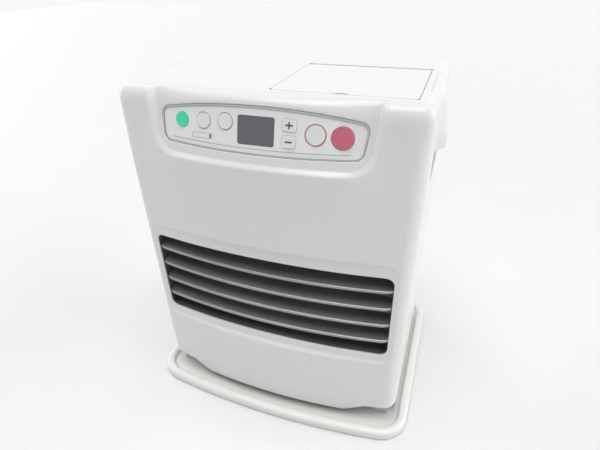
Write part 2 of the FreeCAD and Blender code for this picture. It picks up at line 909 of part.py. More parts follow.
cover_front = size.panel_seam + size.seam
cover_low = size.side_top + size.seam
lid_low = size.overall_height - size.lid_thick
hinge_z = size.overall_height - size.hinge_radius
lid_rear = size.hinge_y + size.hinge_radius


def cover_block(inset, front, low):
    high = size.overall_height - inset
    rear = size.body_rear - inset
    half = body_half - inset
    solid = brick((-half, half), (front, rear), (low, high))
    solid = solid.makeFillet(size.rear_corner - inset, uprights(solid, lambda point: near(point.y, rear)))
    top = edges_where(solid, lambda point: near(point.z, high))
    top = [edge for edge in top if edge.CenterOfMass.y > front + 1]
    return solid.makeFillet(size.top_round - inset, top)


def hatch(grow, low, high):
    """The lid's outline, grown all round, between two heights."""
    return brick(
        (size.lid_left - grow, size.lid_right + grow), (size.lid_front - grow, lid_rear + grow), (low, high))


cover = cover_block(0, cover_front, cover_low)
cover = cover.cut(cover_block(size.panel_wall, cover_front - 1, 0))
collar = hatch(size.lid_gap + size.hatch_wall, size.hatch_low, size.overall_height - size.panel_wall)
cover = cover.fuse(collar)
cover = cover.cut(hatch(-size.hatch_ledge, 0, size.overall_height + 1))
cover = cover.cut(hatch(size.lid_gap, lid_low - size.seam, size.overall_height + 1))
hinge_trough = brick(
    (size.lid_left - size.lid_gap, size.lid_right + size.lid_gap),
    (size.hinge_y - size.hinge_radius - size.lid_gap, lid_rear + size.lid_gap),
    (0, size.overall_height + 1))
cover = cover.cut(hinge_trough)
pin_hole = Part.makeCylinder(
    size.hinge_pin_radius + size.screw_fit, 2 * size.body_width,
    Vector(-size.body_width, size.hinge_y, hinge_z), Vector(1, 0, 0))
pin_zone = hatch(size.lid_gap + size.hatch_wall, 0, size.overall_height)
cover = cover.cut(pin_hole.common(pin_zone))
grip_notch = brick(
    (size.grip_seam - size.seam, 2 * body_half),
    (size.grip_front - size.seam, size.grip_rear + size.seam), (0, 2 * size.overall_height))
cover = cover.cut(grip_notch).cut(mirrored(grip_notch))
formed("top_cover", cover.removeSplitter())

# Tank lid: hollow flap whose rear edge is a barrel about the hinge

lid = brick((size.lid_left, size.lid_right), (size.lid_front, size.hinge_y), (lid_low, size.overall_height))
lid = lid.makeFillet(size.lid_corner, uprights(lid, lambda point: near(point.y, size.lid_front)))
barrel = Part.makeCylinder(
    size.hinge_radius, size.lid_right - size.lid_left, Vector(size.lid_left, size.hinge_y, hinge_z),
    Vector(1, 0, 0))
hollow = brick(
    (size.lid_left + size.lid_wall, size.lid_right - size.lid_wall),
    (size.lid_front + size.lid_wall, size.hinge_y - size.hinge_radius - size.lid_wall),
    (0, size.overall_height - size.lid_wall))
finger_notch = Part.makeCylinder(
    size.notch_radius, size.overall_height,
    Vector((size.lid_left + size.lid_right) / 2, size.lid_front - size.notch_outside,
           size.overall_height - size.notch_depth))
finger_wall = Part.makeCylinder(
    size.notch_radius + size.lid_wall, size.lid_thick,
    Vector((size.lid_left + size.lid_right) / 2, size.lid_front - size.notch_outside, lid_low))
lid_outside = lid
lid = lid.cut(hollow).fuse(finger_wall.common(lid_outside)).cut(finger_notch).fuse(barrel)
hinge_bore = Part.makeCylinder(
    size.hinge_pin_radius + size.key_fit, 2 * size.body_width,
    Vector(-size.body_width, size.hinge_y, hinge_z), Vector(1, 0, 0))
pin_left = size.lid_left + size.hinge_pin_reach
pin_right = size.lid_right - size.hinge_pin_reach
between_pins = brick(
    (pin_left + size.seam, pin_right - size.seam), (0, size.body_rear), (0, size.overall_height))
lid = lid.cut(hinge_bore.cut(between_pins))
formed("tank_lid", lid.removeSplitter())
pin_place = ("hinge_y", "overall_height - hinge_radius")
pin_ends = (
    ("lid_left - lid_gap - hatch_wall", "lid_left + hinge_pin_reach"),
    ("lid_right - hinge_pin_reach", "lid_right + lid_gap + hatch_wall"))
node("lid_hinge_pins", group(*[
    rod("x", "hinge_pin_radius", start, finish, pin_place) for start, finish in pin_ends]))

# Carry grips: moulded cups let into the side panels, with a flared lip that the fingers go behind

lip_shoulder = size.grip_lip_low + size.grip_lip_band


def upright_prism(front, rear, *points):
    """An outline in X and Z, carried along Y."""
    return polygon(*[(x, front, z) for x, z in points]).extrude(Vector(0, rear - front, 0))


grip = upright_prism(
    size.grip_front, size.grip_rear,
    (size.grip_inner, size.grip_low),
    (body_half, size.grip_low),
    (body_half, size.grip_lip_low),
    (size.grip_lip, size.grip_lip_low),
    (size.grip_lip, lip_shoulder),
    (body_half + size.grip_brow, size.overall_height),
    (size.grip_seam, size.overall_height),
    (size.grip_seam, size.grip_cup_top),
    (size.grip_inner, size.grip_cup_top))


def edges_along(solid, x, z):
    """The edges that run front to back at a place."""
    return edges_where(solid, lambda point: near(point.x, x) and near(point.z, z))


brow = edges_along(grip, body_half + size.grip_brow, size.overall_height)
shoulder = edges_along(grip, size.grip_lip, lip_shoulder)
grip = grip.makeFillet(size.grip_round, brow + shoulder)
grip = grip.makeFillet(size.grip_lip_round, edges_along(grip, size.grip_lip, size.grip_lip_low))
cup_top = size.grip_cup_top - size.grip_wall
cavity = upright_prism(
    size.grip_front + size.grip_wall, size.grip_rear - size.grip_wall,
    (size.grip_inner + size.grip_wall, size.grip_low + size.grip_wall + size.grip_slope),
    (2 * body_half, size.grip_low + size.grip_wall - size.grip_slope),
    (2 * body_half, size.grip_lip_low),
    (size.grip_lip - size.grip_lip_wall, size.grip_lip_low),
    (size.grip_lip - size.grip_lip_wall, lip_shoulder),
    (body_half - size.grip_wall, cup_top),
    (size.grip_inner + size.grip_wall, cup_top))
grip = grip.cut(cavity)
formed("carry_grip_right", grip)
formed("carry_grip_left", mirrored(grip))

# Side panels: folded sheet with a front, a rear and a bottom flange and a notch for the grip

body_side = "body_width / 2"
panel_front = "panel_seam + seam"
panel_rear = "body_rear - rear_sheet"
for label, side in (("side_panel_left", -1), ("side_panel_right", 1)):

    def across(inner, outer):
        """A span on this side of the heater, from expressions counted outwards."""
        return (inner, outer) if side > 0 else (f"-({outer})", f"-({inner})")

    skin_inner = f"{body_side} - side_sheet"
    tall = ("side_low", "side_top")
    skin = block(across(skin_inner, body_side), (panel_front, panel_rear), tall)
    front_fold = block(
        across(f"{skin_inner} - side_flange", body_side), (panel_front, f"{panel_front} + side_sheet"),
        ("base_top + seam", "side_top"))
    rear_fold = block(
        across(f"{skin_inner} - side_flange", body_side), (f"{panel_rear} - side_sheet", panel_rear), tall)
    foot_fold = block(
        across("base_width / 2 + seam", body_side), (panel_front, panel_rear),
        ("side_low", "side_low + side_sheet"))
    notch = block(
        across("grip_inner - seam", f"{body_side} + seam"), ("grip_front - seam", "grip_rear + seam"),
        ("grip_low - seam", "side_top + seam"))
    holes = [
        rod("y", "screw_radius + screw_fit", "base_rear", "body_rear", (f"{side} * rear_screw_side", height))
        for height in ("rear_screw_low", "rear_screw_high")]
    node(label, less(fused(skin, front_fold, rear_fold, foot_fold), notch, *holes))

# Rear panel, its screws, the room sensor and the gland for the mains lead

screw_spots = [
    (f"{side} * rear_screw_side", height)
    for side in (-1, 1) for height in ("rear_screw_low", "rear_screw_high")]
panel_corner = (f"-{body_side}", panel_rear, "side_low")
rear_holes = [
    (f"{across} + {body_side}", f"{up} - side_low", "screw_radius + screw_fit") for across, up in screw_spots]
rear_holes.append((f"fan_x + {body_side}", "fan_z - side_low", "fan_hole"))
rear_holes.append((f"gland_x + {body_side}", "gland_z - side_low", "gland_neck + screw_fit"))
plate("rear_panel", "body_width", "side_top - side_low", "rear_sheet", panel_corner, rear_holes)
rear_screws = []
for spot in screw_spots:
    head = rod("y", "screw_head_radius", "body_rear", "body_rear + screw_head", spot)
    shank = rod("y", "screw_radius", "body_rear - screw_length", "body_rear + screw_head", spot)
    rear_screws.append(fused(head, shank))
node("rear_screws", group(*rear_screws))
node("sensor_holder", less(
    block(
        ("sensor_x - sensor_width / 2", "sensor_x + sensor_width / 2"),
        ("body_rear", "body_rear + sensor_depth"),
        ("sensor_z - sensor_height / 2", "sensor_z + sensor_height / 2")),
    block(
        ("sensor_x - sensor_width / 2 + sensor_wall", "sensor_x + sensor_width / 2 - sensor_wall"),
        ("body_rear + sensor_wall", "body_rear + sensor_depth + 1"),
        ("sensor_z - sensor_height / 2 + sensor_wall", "sensor_z + sensor_height / 2 + 1")),
))
gland_spot = ("gland_x", "gland_z")
node("cord_gland", less(
    fused(
        rod("y", "gland_radius", "body_rear", "body_rear + gland_depth", gland_spot),
        rod("y", "gland_neck", "body_rear - gland_depth", "body_rear + gland_depth", gland_spot)),
    rod("y", "gland_bore", "body_rear - 2 * gland_depth", "body_rear + 2 * gland_depth", gland_spot),
))

# Fan guard: moulded rings and spokes, with the rails that hold the air filter

fan_axis = Vector(size.fan_x, 0, size.fan_z)
BACK = Vector(0, 1, 0)
guard_front = size.body_rear
guard_rear = size.body_rear + size.guard_depth


def ring(outer, inner, front, rear):
    """A flat ring about the fan's axis."""
    base = fan_axis + BACK * front
    return Part.makeCylinder(outer, rear - front, base, BACK).cut(
        Part.makeCylinder(inner, rear - front, base, BACK))


guard = ring(size.guard_radius, size.fan_hole - size.guard_bar, guard_front, guard_rear)
guard_parts = []
ring_step = size.fan_hole / size.guard_rings
for index in range(1, int(size.guard_rings)):
    outer = index * ring_step + size.guard_bar / 2
    guard_parts.append(ring(outer, outer - size.guard_bar, guard_front, guard_rear))
for index in range(int(size.guard_spokes)):
    spoke = brick(
        (ring_step, size.fan_hole), (guard_front, guard_rear), (-size.guard_bar / 2, size.guard_bar / 2))
    spoke.rotate(Vector(), BACK, 360 * index / size.guard_spokes)
    guard_parts.append(spoke.translated(fan_axis))
filter_front = guard_rear + size.slide_fit
filter_rear = filter_front + size.filter_thick
filter_low = size.fan_z - size.filter_half_height
filter_high = size.fan_z + size.filter_half_height
rail_rear = filter_rear + size.slide_fit + size.rail_wall
slot = size.filter_half_width + size.slide_fit
slot_low = filter_low - size.slide_fit
frame = brick(
    (-slot - size.rail_wall, slot + size.rail_wall), (guard_front, rail_rear),
    (slot_low - size.rail_wall, filter_high))
frame = frame.cut(brick((-slot, slot), (guard_rear, rail_rear - size.rail_wall), (slot_low, filter_high + 1)))
frame = frame.cut(brick(
    (-slot + size.rail_lip, slot - size.rail_lip), (guard_rear, rail_rear + 1),
    (slot_low + size.rail_lip, filter_high + 1)))
frame = frame.translated(Vector(size.fan_x, 0, 0))
frame = frame.cut(Part.makeCylinder(
    size.guard_radius - size.guard_bar, 2 * size.body_rear, fan_axis, BACK))
formed("fan_guard", frame.fuse([guard] + guard_parts).removeSplitter())

# Air filter: a framed net that lifts out of the rails by its tab

cell_width = 2 * (size.filter_half_width - size.filter_border) / size.filter_cells
cell_height = 2 * (size.filter_half_height - size.filter_border) / size.filter_cells
net = brick(
    (-size.filter_half_width, size.filter_half_width), (filter_front, filter_rear), (filter_low, filter_high))
gaps = []
for column in range(int(size.filter_cells)):
    for line in range(int(size.filter_cells)):
        left = -size.filter_half_width + size.filter_border + column * cell_width + size.filter_bar / 2
        low = filter_low + size.filter_border + line * cell_height + size.filter_bar / 2
        gaps.append(brick(
            (left, left + cell_width - size.filter_bar), (0, 2 * filter_rear),
            (low, low + cell_height - size.filter_bar)))
net = net.cut(Part.makeCompound(gaps))
tab = brick(
    (-size.filter_knob, size.filter_knob), (filter_front, filter_rear),
    (filter_high, filter_high + size.filter_knob))
net = net.fuse(tab).removeSplitter().translated(Vector(size.fan_x, 0, 0))
formed("air_filter", net)

# Louvre sleeve and blades behind the outlet window

sleeve_rear = size.panel_seam


def sleeve_block(inset):
    """The sleeve's tunnel, larger than the window by its fit."""
    half = size.window_half + size.sleeve_fit - inset
    low = size.window_low - size.sleeve_fit + inset
    high = size.window_high + size.sleeve_fit - inset
    return brick((-half, half), (2 * size.front_y, sleeve_rear), (low, high))


def dish_drum(depth):
    """Everything deeper than a given depth behind the dish's bowed face."""
    return Part.makeCylinder(
        size.dish_radius - depth, size.overall_height, Vector(0, size.dish_y + size.dish_radius, 0))


sleeve_depth = size.panel_wall + size.seam
tunnel = sleeve_block(0)
sleeve = sleeve_block(-size.sleeve_sheet).common(dish_drum(sleeve_depth))
sleeve_lip = sleeve_block(-size.sleeve_sheet - size.sleeve_flange).common(dish_drum(sleeve_depth))
sleeve_lip = sleeve_lip.cut(dish_drum(sleeve_depth + size.sleeve_sheet))
panel_inner = panel_block(size.panel_wall + size.seam, 0, 0)
sleeve = sleeve.fuse(sleeve_lip).cut(tunnel).common(panel_inner)
formed("louvre_frame", sleeve.removeSplitter())

blade_half = size.window_half + size.sleeve_fit - size.seam
blade_rear = size.louvre_y + size.louvre_depth
blade_plan = bowed_prism(
    blade_half, size.louvre_y, size.dish_radius, blade_rear, 0, size.overall_height)
front_ends = uprights(blade_plan, lambda point: point.y < blade_rear - 1)
blade_plan = blade_plan.makeFillet(size.louvre_bend, front_ends)
rise = size.louvre_depth * math.tan(math.radians(size.louvre_rise))


def is_leading(edge):
    """Tells the blade's bowed front edges from its ends, its back and its uprights."""
    middle = edge.CenterOfMass
    level = abs(edge.Vertexes[0].Point.x - edge.Vertexes[-1].Point.x) > 1
    return level and middle.y < blade_rear - 1


wedge = polygon(
    (-body_half, size.louvre_y, -size.louvre_edge / 2),
    (-body_half, blade_rear, rise - size.louvre_sheet / 2),
    (-body_half, blade_rear, rise + size.louvre_sheet / 2),
    (-body_half, size.louvre_y, size.louvre_edge / 2)).extrude(Vector(size.body_width, 0, 0))
for index in range(4):
    height = size.louvre_first + index * size.louvre_pitch
    blade = wedge.translated(Vector(0, 0, height)).common(blade_plan)
    lead = [edge for edge in blade.Edges if is_leading(edge)]
    blade = blade.makeFillet(size.louvre_round, lead)
    formed(f"louvre_blade_{index + 1}", blade)

# Heat shield before the tank, and the electrics plate with the main board and transformer

shield_y = "panel_seam + seam"
inside_edge = f"{body_side} - side_sheet - side_flange - seam"
plate(
    "heat_shield", f"{inside_edge} - shield_left", "plate_low - seam - shield_low", "inner_sheet",
    ("shield_left", shield_y, "shield_low"))
plate(
    "electrics_plate", f"2 * ({inside_edge})", "plate_high - plate_low", "inner_sheet",
    (f"-({inside_edge})", shield_y, "plate_low"))
board_y = f"{shield_y} - main_board_gap - board_thick"
board_sheet = block(
    ("main_board_left", "main_board_right"), (board_y, f"{board_y} + board_thick"),
    ("main_board_low", "main_board_high"))
feet = [
    rod("y", "post_radius", board_y, shield_y, (across, up))
    for across in ("main_board_left + post_inset", "main_board_right - post_inset")
    for up in ("main_board_low + post_inset", "main_board_high - post_inset")]
node("main_board", fused(board_sheet, *feet))
core = block(
    ("transformer_left", "transformer_left + transformer_width"),
    (f"{shield_y} - transformer_depth", shield_y),
    ("transformer_low", "transformer_low + transformer_height"))
winding = block(
    ("transformer_left + winding_inset", "transformer_left + transformer_width - winding_inset"),
    (f"{shield_y} - winding_depth", shield_y),
    ("transformer_low - winding_overhang", "transformer_low + transformer_height + winding_overhang"))
node("transformer", fused(core, winding))

# Burner box: a sheet duct on four legs, open to the louvres, with a slotted wall towards the fan

box_front = "panel_seam + seam"
box_x = ("box_left", "box_right")
box_shell = less(
    block(box_x, (box_front, "box_rear"), ("box_low", "box_high")),
    block(
        ("box_left + inner_sheet", "box_right - inner_sheet"), (f"{box_front} - 1", "box_rear - inner_sheet"),
        ("box_low + inner_sheet", "box_high - inner_sheet")))
slot_pitch = "(box_high - box_low - box_slot_margin) / box_slots"
wall_slots = []
for index in range(int(size.box_slots)):
    slot_low = f"box_low + box_slot_margin + {index} * {slot_pitch}"
    wall_slots.append(block(
        ("box_left + box_slot_margin", "box_right - box_slot_margin"),
        ("box_rear - inner_sheet - 1", "box_rear + 1"), (slot_low, f"{slot_low} + box_slot_height")))
legs = [
    block((left, f"{left} + box_leg"), (front, f"{front} + box_leg"), ("base_top", "box_low"))
    for left in ("box_left", "box_right - box_leg") for front in (box_front, "box_rear - box_leg")]
burner_spot = ("burner_x", "burner_y")
floor_holes = [rod("z", "mixing_radius + seam", "box_low - 1", "box_low + inner_sheet + 1", burner_spot)]
electrode_x = {"igniter": "burner_x + burner_radius + electrode_spread / 2",
               "flame_rod": "burner_x - burner_radius - electrode_spread / 2"}
for place in electrode_x.values():
    floor_holes.append(rod(
        "z", "electrode_radius + screw_fit", "box_low - 1", "box_low + inner_sheet + 1", (place, "burner_y")))
node("burner_box", less(fused(box_shell, *legs), *floor_holes, *wall_slots))

floor_top = "box_low + inner_sheet"
node("burner", less(
    fused(
        rod("z", "burner_radius", floor_top, f"{floor_top} + burner_pot", burner_spot),
        rod("z", "burner_ring_radius", floor_top, f"{floor_top} + burner_pot + burner_ring", burner_spot),
        rod("z", "mixing_radius", "mixing_low", floor_top, burner_spot)),
    rod("z", "mixing_radius - mixing_wall", "mixing_low - 1", f"{floor_top} + burner_pot", burner_spot),
    rod(
        "z", "burner_ring_radius - mixing_wall", f"{floor_top} + burner_pot",
        f"{floor_top} + burner_pot + burner_ring - mixing_wall", burner_spot),
))

# Electrodes: porcelain rods on the box floor with a bent wire tip over the burner

tip_top = "electrode_high + electrode_tip"
for label, place in electrode_x.items():
    towards = -1 if label == "igniter" else 1
    tip_ends = ((f"{place} - electrode_tip", place) if towards < 0 else (place, f"{place} + electrode_tip"))
    node(label, fused(
        rod("z", "electrode_radius", "electrode_low", "electrode_high", (place, "burner_y")),
        rod("z", "electrode_flange", floor_top, f"{floor_top} + inner_sheet * 2", (place, "burner_y")),
        rod("z", "tip_radius", "electrode_high", tip_top, (place, "burner_y")),
        block(
            tip_ends, ("burner_y - tip_radius / 2", "burner_y + tip_radius / 2"),
            (f"{tip_top} - 3 * tip_radius", f"{tip_top} - tip_radius"))))

# Vaporiser with its nozzle and inlet, and the solenoid and needle that shut it

level = ("burner_x", "vaporiser_z")
inlet_start = "burner_x"
inlet_end = "burner_x + vaporiser_radius + inlet_reach"
inlet_spot = ("inlet_y", "vaporiser_z")
node("vaporiser", less(
    fused(
        rod("y", "vaporiser_radius", "vaporiser_front", "vaporiser_rear", level),
        block(
            ("burner_x - vaporiser_foot / 2", "burner_x + vaporiser_foot / 2"),
            ("burner_y - vaporiser_foot / 2", "burner_y + vaporiser_foot / 2"),
            ("base_top", "vaporiser_z")),
        rod("z", "nozzle_radius", "vaporiser_z", "nozzle_top", burner_spot),
        rod("x", "inlet_radius", inlet_start, inlet_end, inlet_spot)),
    rod("y", "needle_radius + slide_fit", "needle_tip - slide_fit", "vaporiser_rear + 1", level),
))
solenoid_front = "vaporiser_rear + seam"
solenoid_rear = f"{solenoid_front} + solenoid_length"
plunger_end = f"{solenoid_front} + plunger_length"
node("solenoid", less(
    rod("y", "solenoid_radius", solenoid_front, solenoid_rear, level),
    rod(
        "y", "plunger_radius + slide_fit", f"{solenoid_front} - 1",
        f"{plunger_end} + needle_travel + slide_fit", level)))
node("needle_valve", fused(
    rod("y", "needle_radius", "needle_tip", plunger_end, level),
    rod("y", "plunger_radius", f"{solenoid_front} + slide_fit", plunger_end, level)))

# Sump with its holes, strainer, level stem and float

sump_shell = less(
    block(("sump_left", "sump_right"), ("sump_front", "sump_rear"), ("base_top", "sump_top")),
    block(
        ("sump_left + sump_wall", "sump_right - sump_wall"),
        ("sump_front + sump_wall", "sump_rear - sump_wall"),
        ("base_top + sump_wall", "sump_top - sump_wall")))
fill_spot = ("fill_x", "fill_y")
level_spot = ("level_x", "level_y")
pump_spot = ("pump_x", "pump_y")
node("sump", less(
    sump_shell,
    rod("z", "strainer_radius + seam", "sump_top - 2 * sump_wall", "sump_top + 1", fill_spot),
    rod("z", "float_radius + slide_fit", "sump_top - 2 * sump_wall", "sump_top + 1", level_spot),
    rod("z", "pump_inlet_radius + seam", "sump_top - 2 * sump_wall", "sump_top + 1", pump_spot),
))
strainer_top = "sump_top + strainer_rim"
node("strainer", less(
    fused(
        rod("z", "strainer_radius", "strainer_low", strainer_top, fill_spot),
        rod("z", "strainer_radius + strainer_flange", "sump_top", strainer_top, fill_spot)),
    rod(
        "z", "strainer_radius - strainer_wall", "strainer_low + strainer_wall", f"{strainer_top} + 1",
        fill_spot)))
node("level_stem", fused(
    rod("z", "level_stem", "level_low", "sump_top", level_spot),
    rod("z", "level_head_radius", "sump_top", "sump_top + level_head", level_spot)))
node("float", less(
    rod("z", "float_radius", "float_low", "float_low + float_height", level_spot),
    rod("z", "level_stem + slide_fit", "float_low - 1", "float_low + float_height + 1", level_spot)))

# Cartridge tank standing neck down on the sump, its cap and its handle

tank_low = f"{strainer_top} + seam"
tank_floor = size.sump_top + size.strainer_rim + size.seam


def tank_block(inset):
    solid = brick(
        (size.tank_left + inset, size.tank_right - inset), (size.tank_front + inset, size.tank_rear - inset),
        (tank_floor + inset, size.tank_top - inset))
    return solid.makeFillet(size.tank_corner - inset, uprights(solid))


fill = Vector(size.fill_x, size.fill_y, 0)
neck_height = tank_floor + size.tank_wall - size.neck_low
neck = Part.makeCylinder(size.neck_radius, neck_height, fill + Vector(0, 0, size.neck_low))
mouth = Part.makeCylinder(
    size.neck_radius - size.neck_wall, neck_height + size.tank_wall, fill + Vector(0, 0, size.neck_low))
formed("cartridge_tank", tank_block(0).cut(tank_block(size.tank_wall)).fuse(neck).cut(mouth))
node("tank_cap", less(
    rod("z", "cap_radius", "cap_low", tank_low, fill_spot),
    rod("z", "neck_radius + screw_fit", "neck_low", f"{tank_low} + 1", fill_spot)))
handle_left = "(tank_left + tank_right - handle_length) / 2"
handle_right = "(tank_left + tank_right + handle_length) / 2"
handle_y = ("(tank_front + tank_rear - handle_width) / 2", "(tank_front + tank_rear + handle_width) / 2")
node("tank_handle", less(
    block((handle_left, handle_right), handle_y, ("tank_top", "tank_top + handle_height")),
    block(
        (f"{handle_left} + handle_post", f"{handle_right} - handle_post"),
        (f"{handle_y[0]} - 1", f"{handle_y[1]} + 1"),
        ("tank_top - 1", "tank_top + handle_height - handle_bar"))))

# Fuel pump on the sump, its plunger, and the copper pipe to the vaporiser

outlet_end = "pump_x - pump_radius - pump_outlet_reach"
outlet_spot = ("pump_y", "pump_outlet_z")
node("fuel_pump", less(
    fused(
        rod("z", "pump_radius", "sump_top", "pump_top", pump_spot),
        rod("z", "pump_inlet_radius", "pump_inlet_low", "sump_top", pump_spot),
        rod("x", "inlet_radius", outlet_end, "pump_x - pump_bore - slide_fit", outlet_spot)),
    rod("z", "pump_bore + slide_fit", "pump_bore_low", "pump_bore_high", pump_spot),
    rod("z", "pump_bore / 2", "pump_inlet_low - 1", "pump_bore_low + 1", pump_spot),
))
node("pump_plunger", rod(
    "z", "pump_bore", "pump_plunger_low", "pump_plunger_low + pump_plunger_length", pump_spot))

route = [
    Vector(size.pump_x - size.pump_radius - size.pump_outlet_reach, size.pump_y, size.pump_outlet_z),
    Vector(size.pipe_drop_x, size.pump_y, size.pump_outlet_z),
    Vector(size.pipe_drop_x, size.pump_y, size.vaporiser_z),
    Vector(size.pipe_drop_x, size.inlet_y, size.vaporiser_z),
    Vector(size.burner_x + size.vaporiser_radius + size.inlet_reach, size.inlet_y, size.vaporiser_z),
]
path = []
last = route[0]
for before, corner, after in zip(route, route[1:], route[2:]):
    inward = (before - corner).normalize()
    onward = (after - corner).normalize()
    start = corner + inward * size.pipe_bend
    end = corner + onward * size.pipe_bend
    centre = corner + (inward + onward) * size.pipe_bend
    middle = centre + (corner - centre).normalize() * size.pipe_bend
    path.append(Part.makeLine(last, start))
    path.append(Part.Arc(start, middle, end).toShape())
    last = end
path.append(Part.makeLine(last, route[-1]))
section = Part.Wire(Part.makeCircle(size.pipe_radius, route[0], route[1] - route[0]))
formed("fuel_pipe", Part.Wire(path).makePipeShell([section], True, False))

# Fan group: shroud with motor arms, motor, shaft and fan

shroud_rear = size.body_rear - size.rear_sheet - size.seam
arm_front = size.fan_front - 2 * size.arm_thick
shroud = ring(size.shroud_inner + size.shroud_wall, size.shroud_inner, arm_front, shroud_rear)
flange = ring(
    size.shroud_inner + size.shroud_wall + size.shroud_flange, size.shroud_inner,
    shroud_rear - size.shroud_wall, shroud_rear)
arms = []
for turn in (90, 210, 330):
    arm = brick(
        (0, size.shroud_inner + size.shroud_wall / 2), (arm_front, arm_front + size.arm_thick),
        (-size.arm_width / 2, size.arm_width / 2))
    arm.rotate(Vector(), BACK, turn)
    arms.append(arm.translated(fan_axis))
arms.append(Part.makeCylinder(size.motor_radius, size.arm_thick, fan_axis + BACK * arm_front, BACK))
arms_bore = Part.makeCylinder(2 * size.shaft_radius, 2 * size.body_rear, fan_axis, BACK)
formed("fan_shroud", shroud.fuse([flange] + arms).cut(arms_bore).removeSplitter())

fan_spot = ("fan_x", "fan_z")
motor_rear = "fan_front - 2 * arm_thick - seam"
motor_front = f"{motor_rear} - motor_length"
node("fan_motor", less(
    rod("y", "motor_radius", motor_front, motor_rear, fan_spot),
    rod("y", "shaft_bore", f"{motor_rear} - shaft_seat", f"{motor_rear} + 1", fan_spot)))
shaft_front = f"{motor_rear} - shaft_seat + seam"
node("fan_shaft", rod("y", "shaft_radius", shaft_front, "fan_rear", fan_spot))

fan_length = size.fan_rear - size.fan_front
hub = Part.makeCylinder(size.fan_hub, fan_length, fan_axis + BACK * size.fan_front, BACK)
sweep = Part.makeCylinder(size.fan_radius, fan_length, fan_axis + BACK * size.fan_front, BACK)
blades = []
fan_middle = (size.fan_front + size.fan_rear) / 2
for index in range(int(size.fan_blades)):
    blade = brick(
        (size.fan_hub / 2, 2 * size.fan_radius), (-size.fan_blade_thick / 2, size.fan_blade_thick / 2),
        (-size.fan_chord / 2, size.fan_chord / 2))
    blade.rotate(Vector(), Vector(1, 0, 0), size.fan_pitch)
    blade.rotate(Vector(), BACK, 360 * index / size.fan_blades)
    blades.append(blade.translated(fan_axis + BACK * fan_middle).common(sweep))
shaft_hole = Part.makeCylinder(size.shaft_radius, 2 * size.body_rear, fan_axis, BACK)
formed("fan", hub.fuse(blades).cut(shaft_hole).removeSplitter())

# Every object and every finished shape is tested before anything is written.

doc.recompute()
for thing in doc.Objects:
    if "Invalid" in thing.State or "Error" in thing.State:
        raise RuntimeError(f"{thing.Name} ({thing.Label}) failed: {thing.State}")
for thing in nodes:
    if thing.Shape.isNull() or not thing.Shape.isValid() or not thing.Shape.Solids:
        raise RuntimeError(f"{thing.Label} has no valid solid")
os.makedirs("parts", exist_ok=True)
for thing in nodes:
    thing.Shape.exportStep(f"parts/{thing.Label}.step")
    box = thing.Shape.BoundBox
    print(
        f"{thing.Label}: {len(thing.Shape.Solids)} solid(s), "
        f"x {box.XMin:.1f} {box.XMax:.1f}, y {box.YMin:.1f} {box.YMax:.1f}, z {box.ZMin:.1f} {box.ZMax:.1f}")
print(len(nodes), "nodes")
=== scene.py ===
import math

import bpy
import numpy as np
from mathutils import Matrix, Vector


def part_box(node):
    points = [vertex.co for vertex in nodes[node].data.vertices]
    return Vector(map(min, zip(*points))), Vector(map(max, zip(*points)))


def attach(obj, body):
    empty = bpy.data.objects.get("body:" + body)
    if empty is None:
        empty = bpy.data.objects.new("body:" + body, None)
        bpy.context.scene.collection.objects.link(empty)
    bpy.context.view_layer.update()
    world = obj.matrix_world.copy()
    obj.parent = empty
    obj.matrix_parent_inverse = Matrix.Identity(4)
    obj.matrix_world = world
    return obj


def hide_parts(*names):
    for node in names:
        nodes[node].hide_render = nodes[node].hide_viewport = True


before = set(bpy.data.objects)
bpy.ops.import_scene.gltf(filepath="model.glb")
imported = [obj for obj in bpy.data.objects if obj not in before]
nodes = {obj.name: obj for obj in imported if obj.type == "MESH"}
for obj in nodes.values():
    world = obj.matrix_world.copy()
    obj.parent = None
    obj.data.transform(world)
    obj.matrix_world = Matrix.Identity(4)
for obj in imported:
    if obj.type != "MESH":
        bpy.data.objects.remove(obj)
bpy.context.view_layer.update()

# Drip tray: pressed steel sheet with a rolled rim, in warm white baked enamel.
# It stands on four rubber pads, and four plated screws from below hold the heater in it.


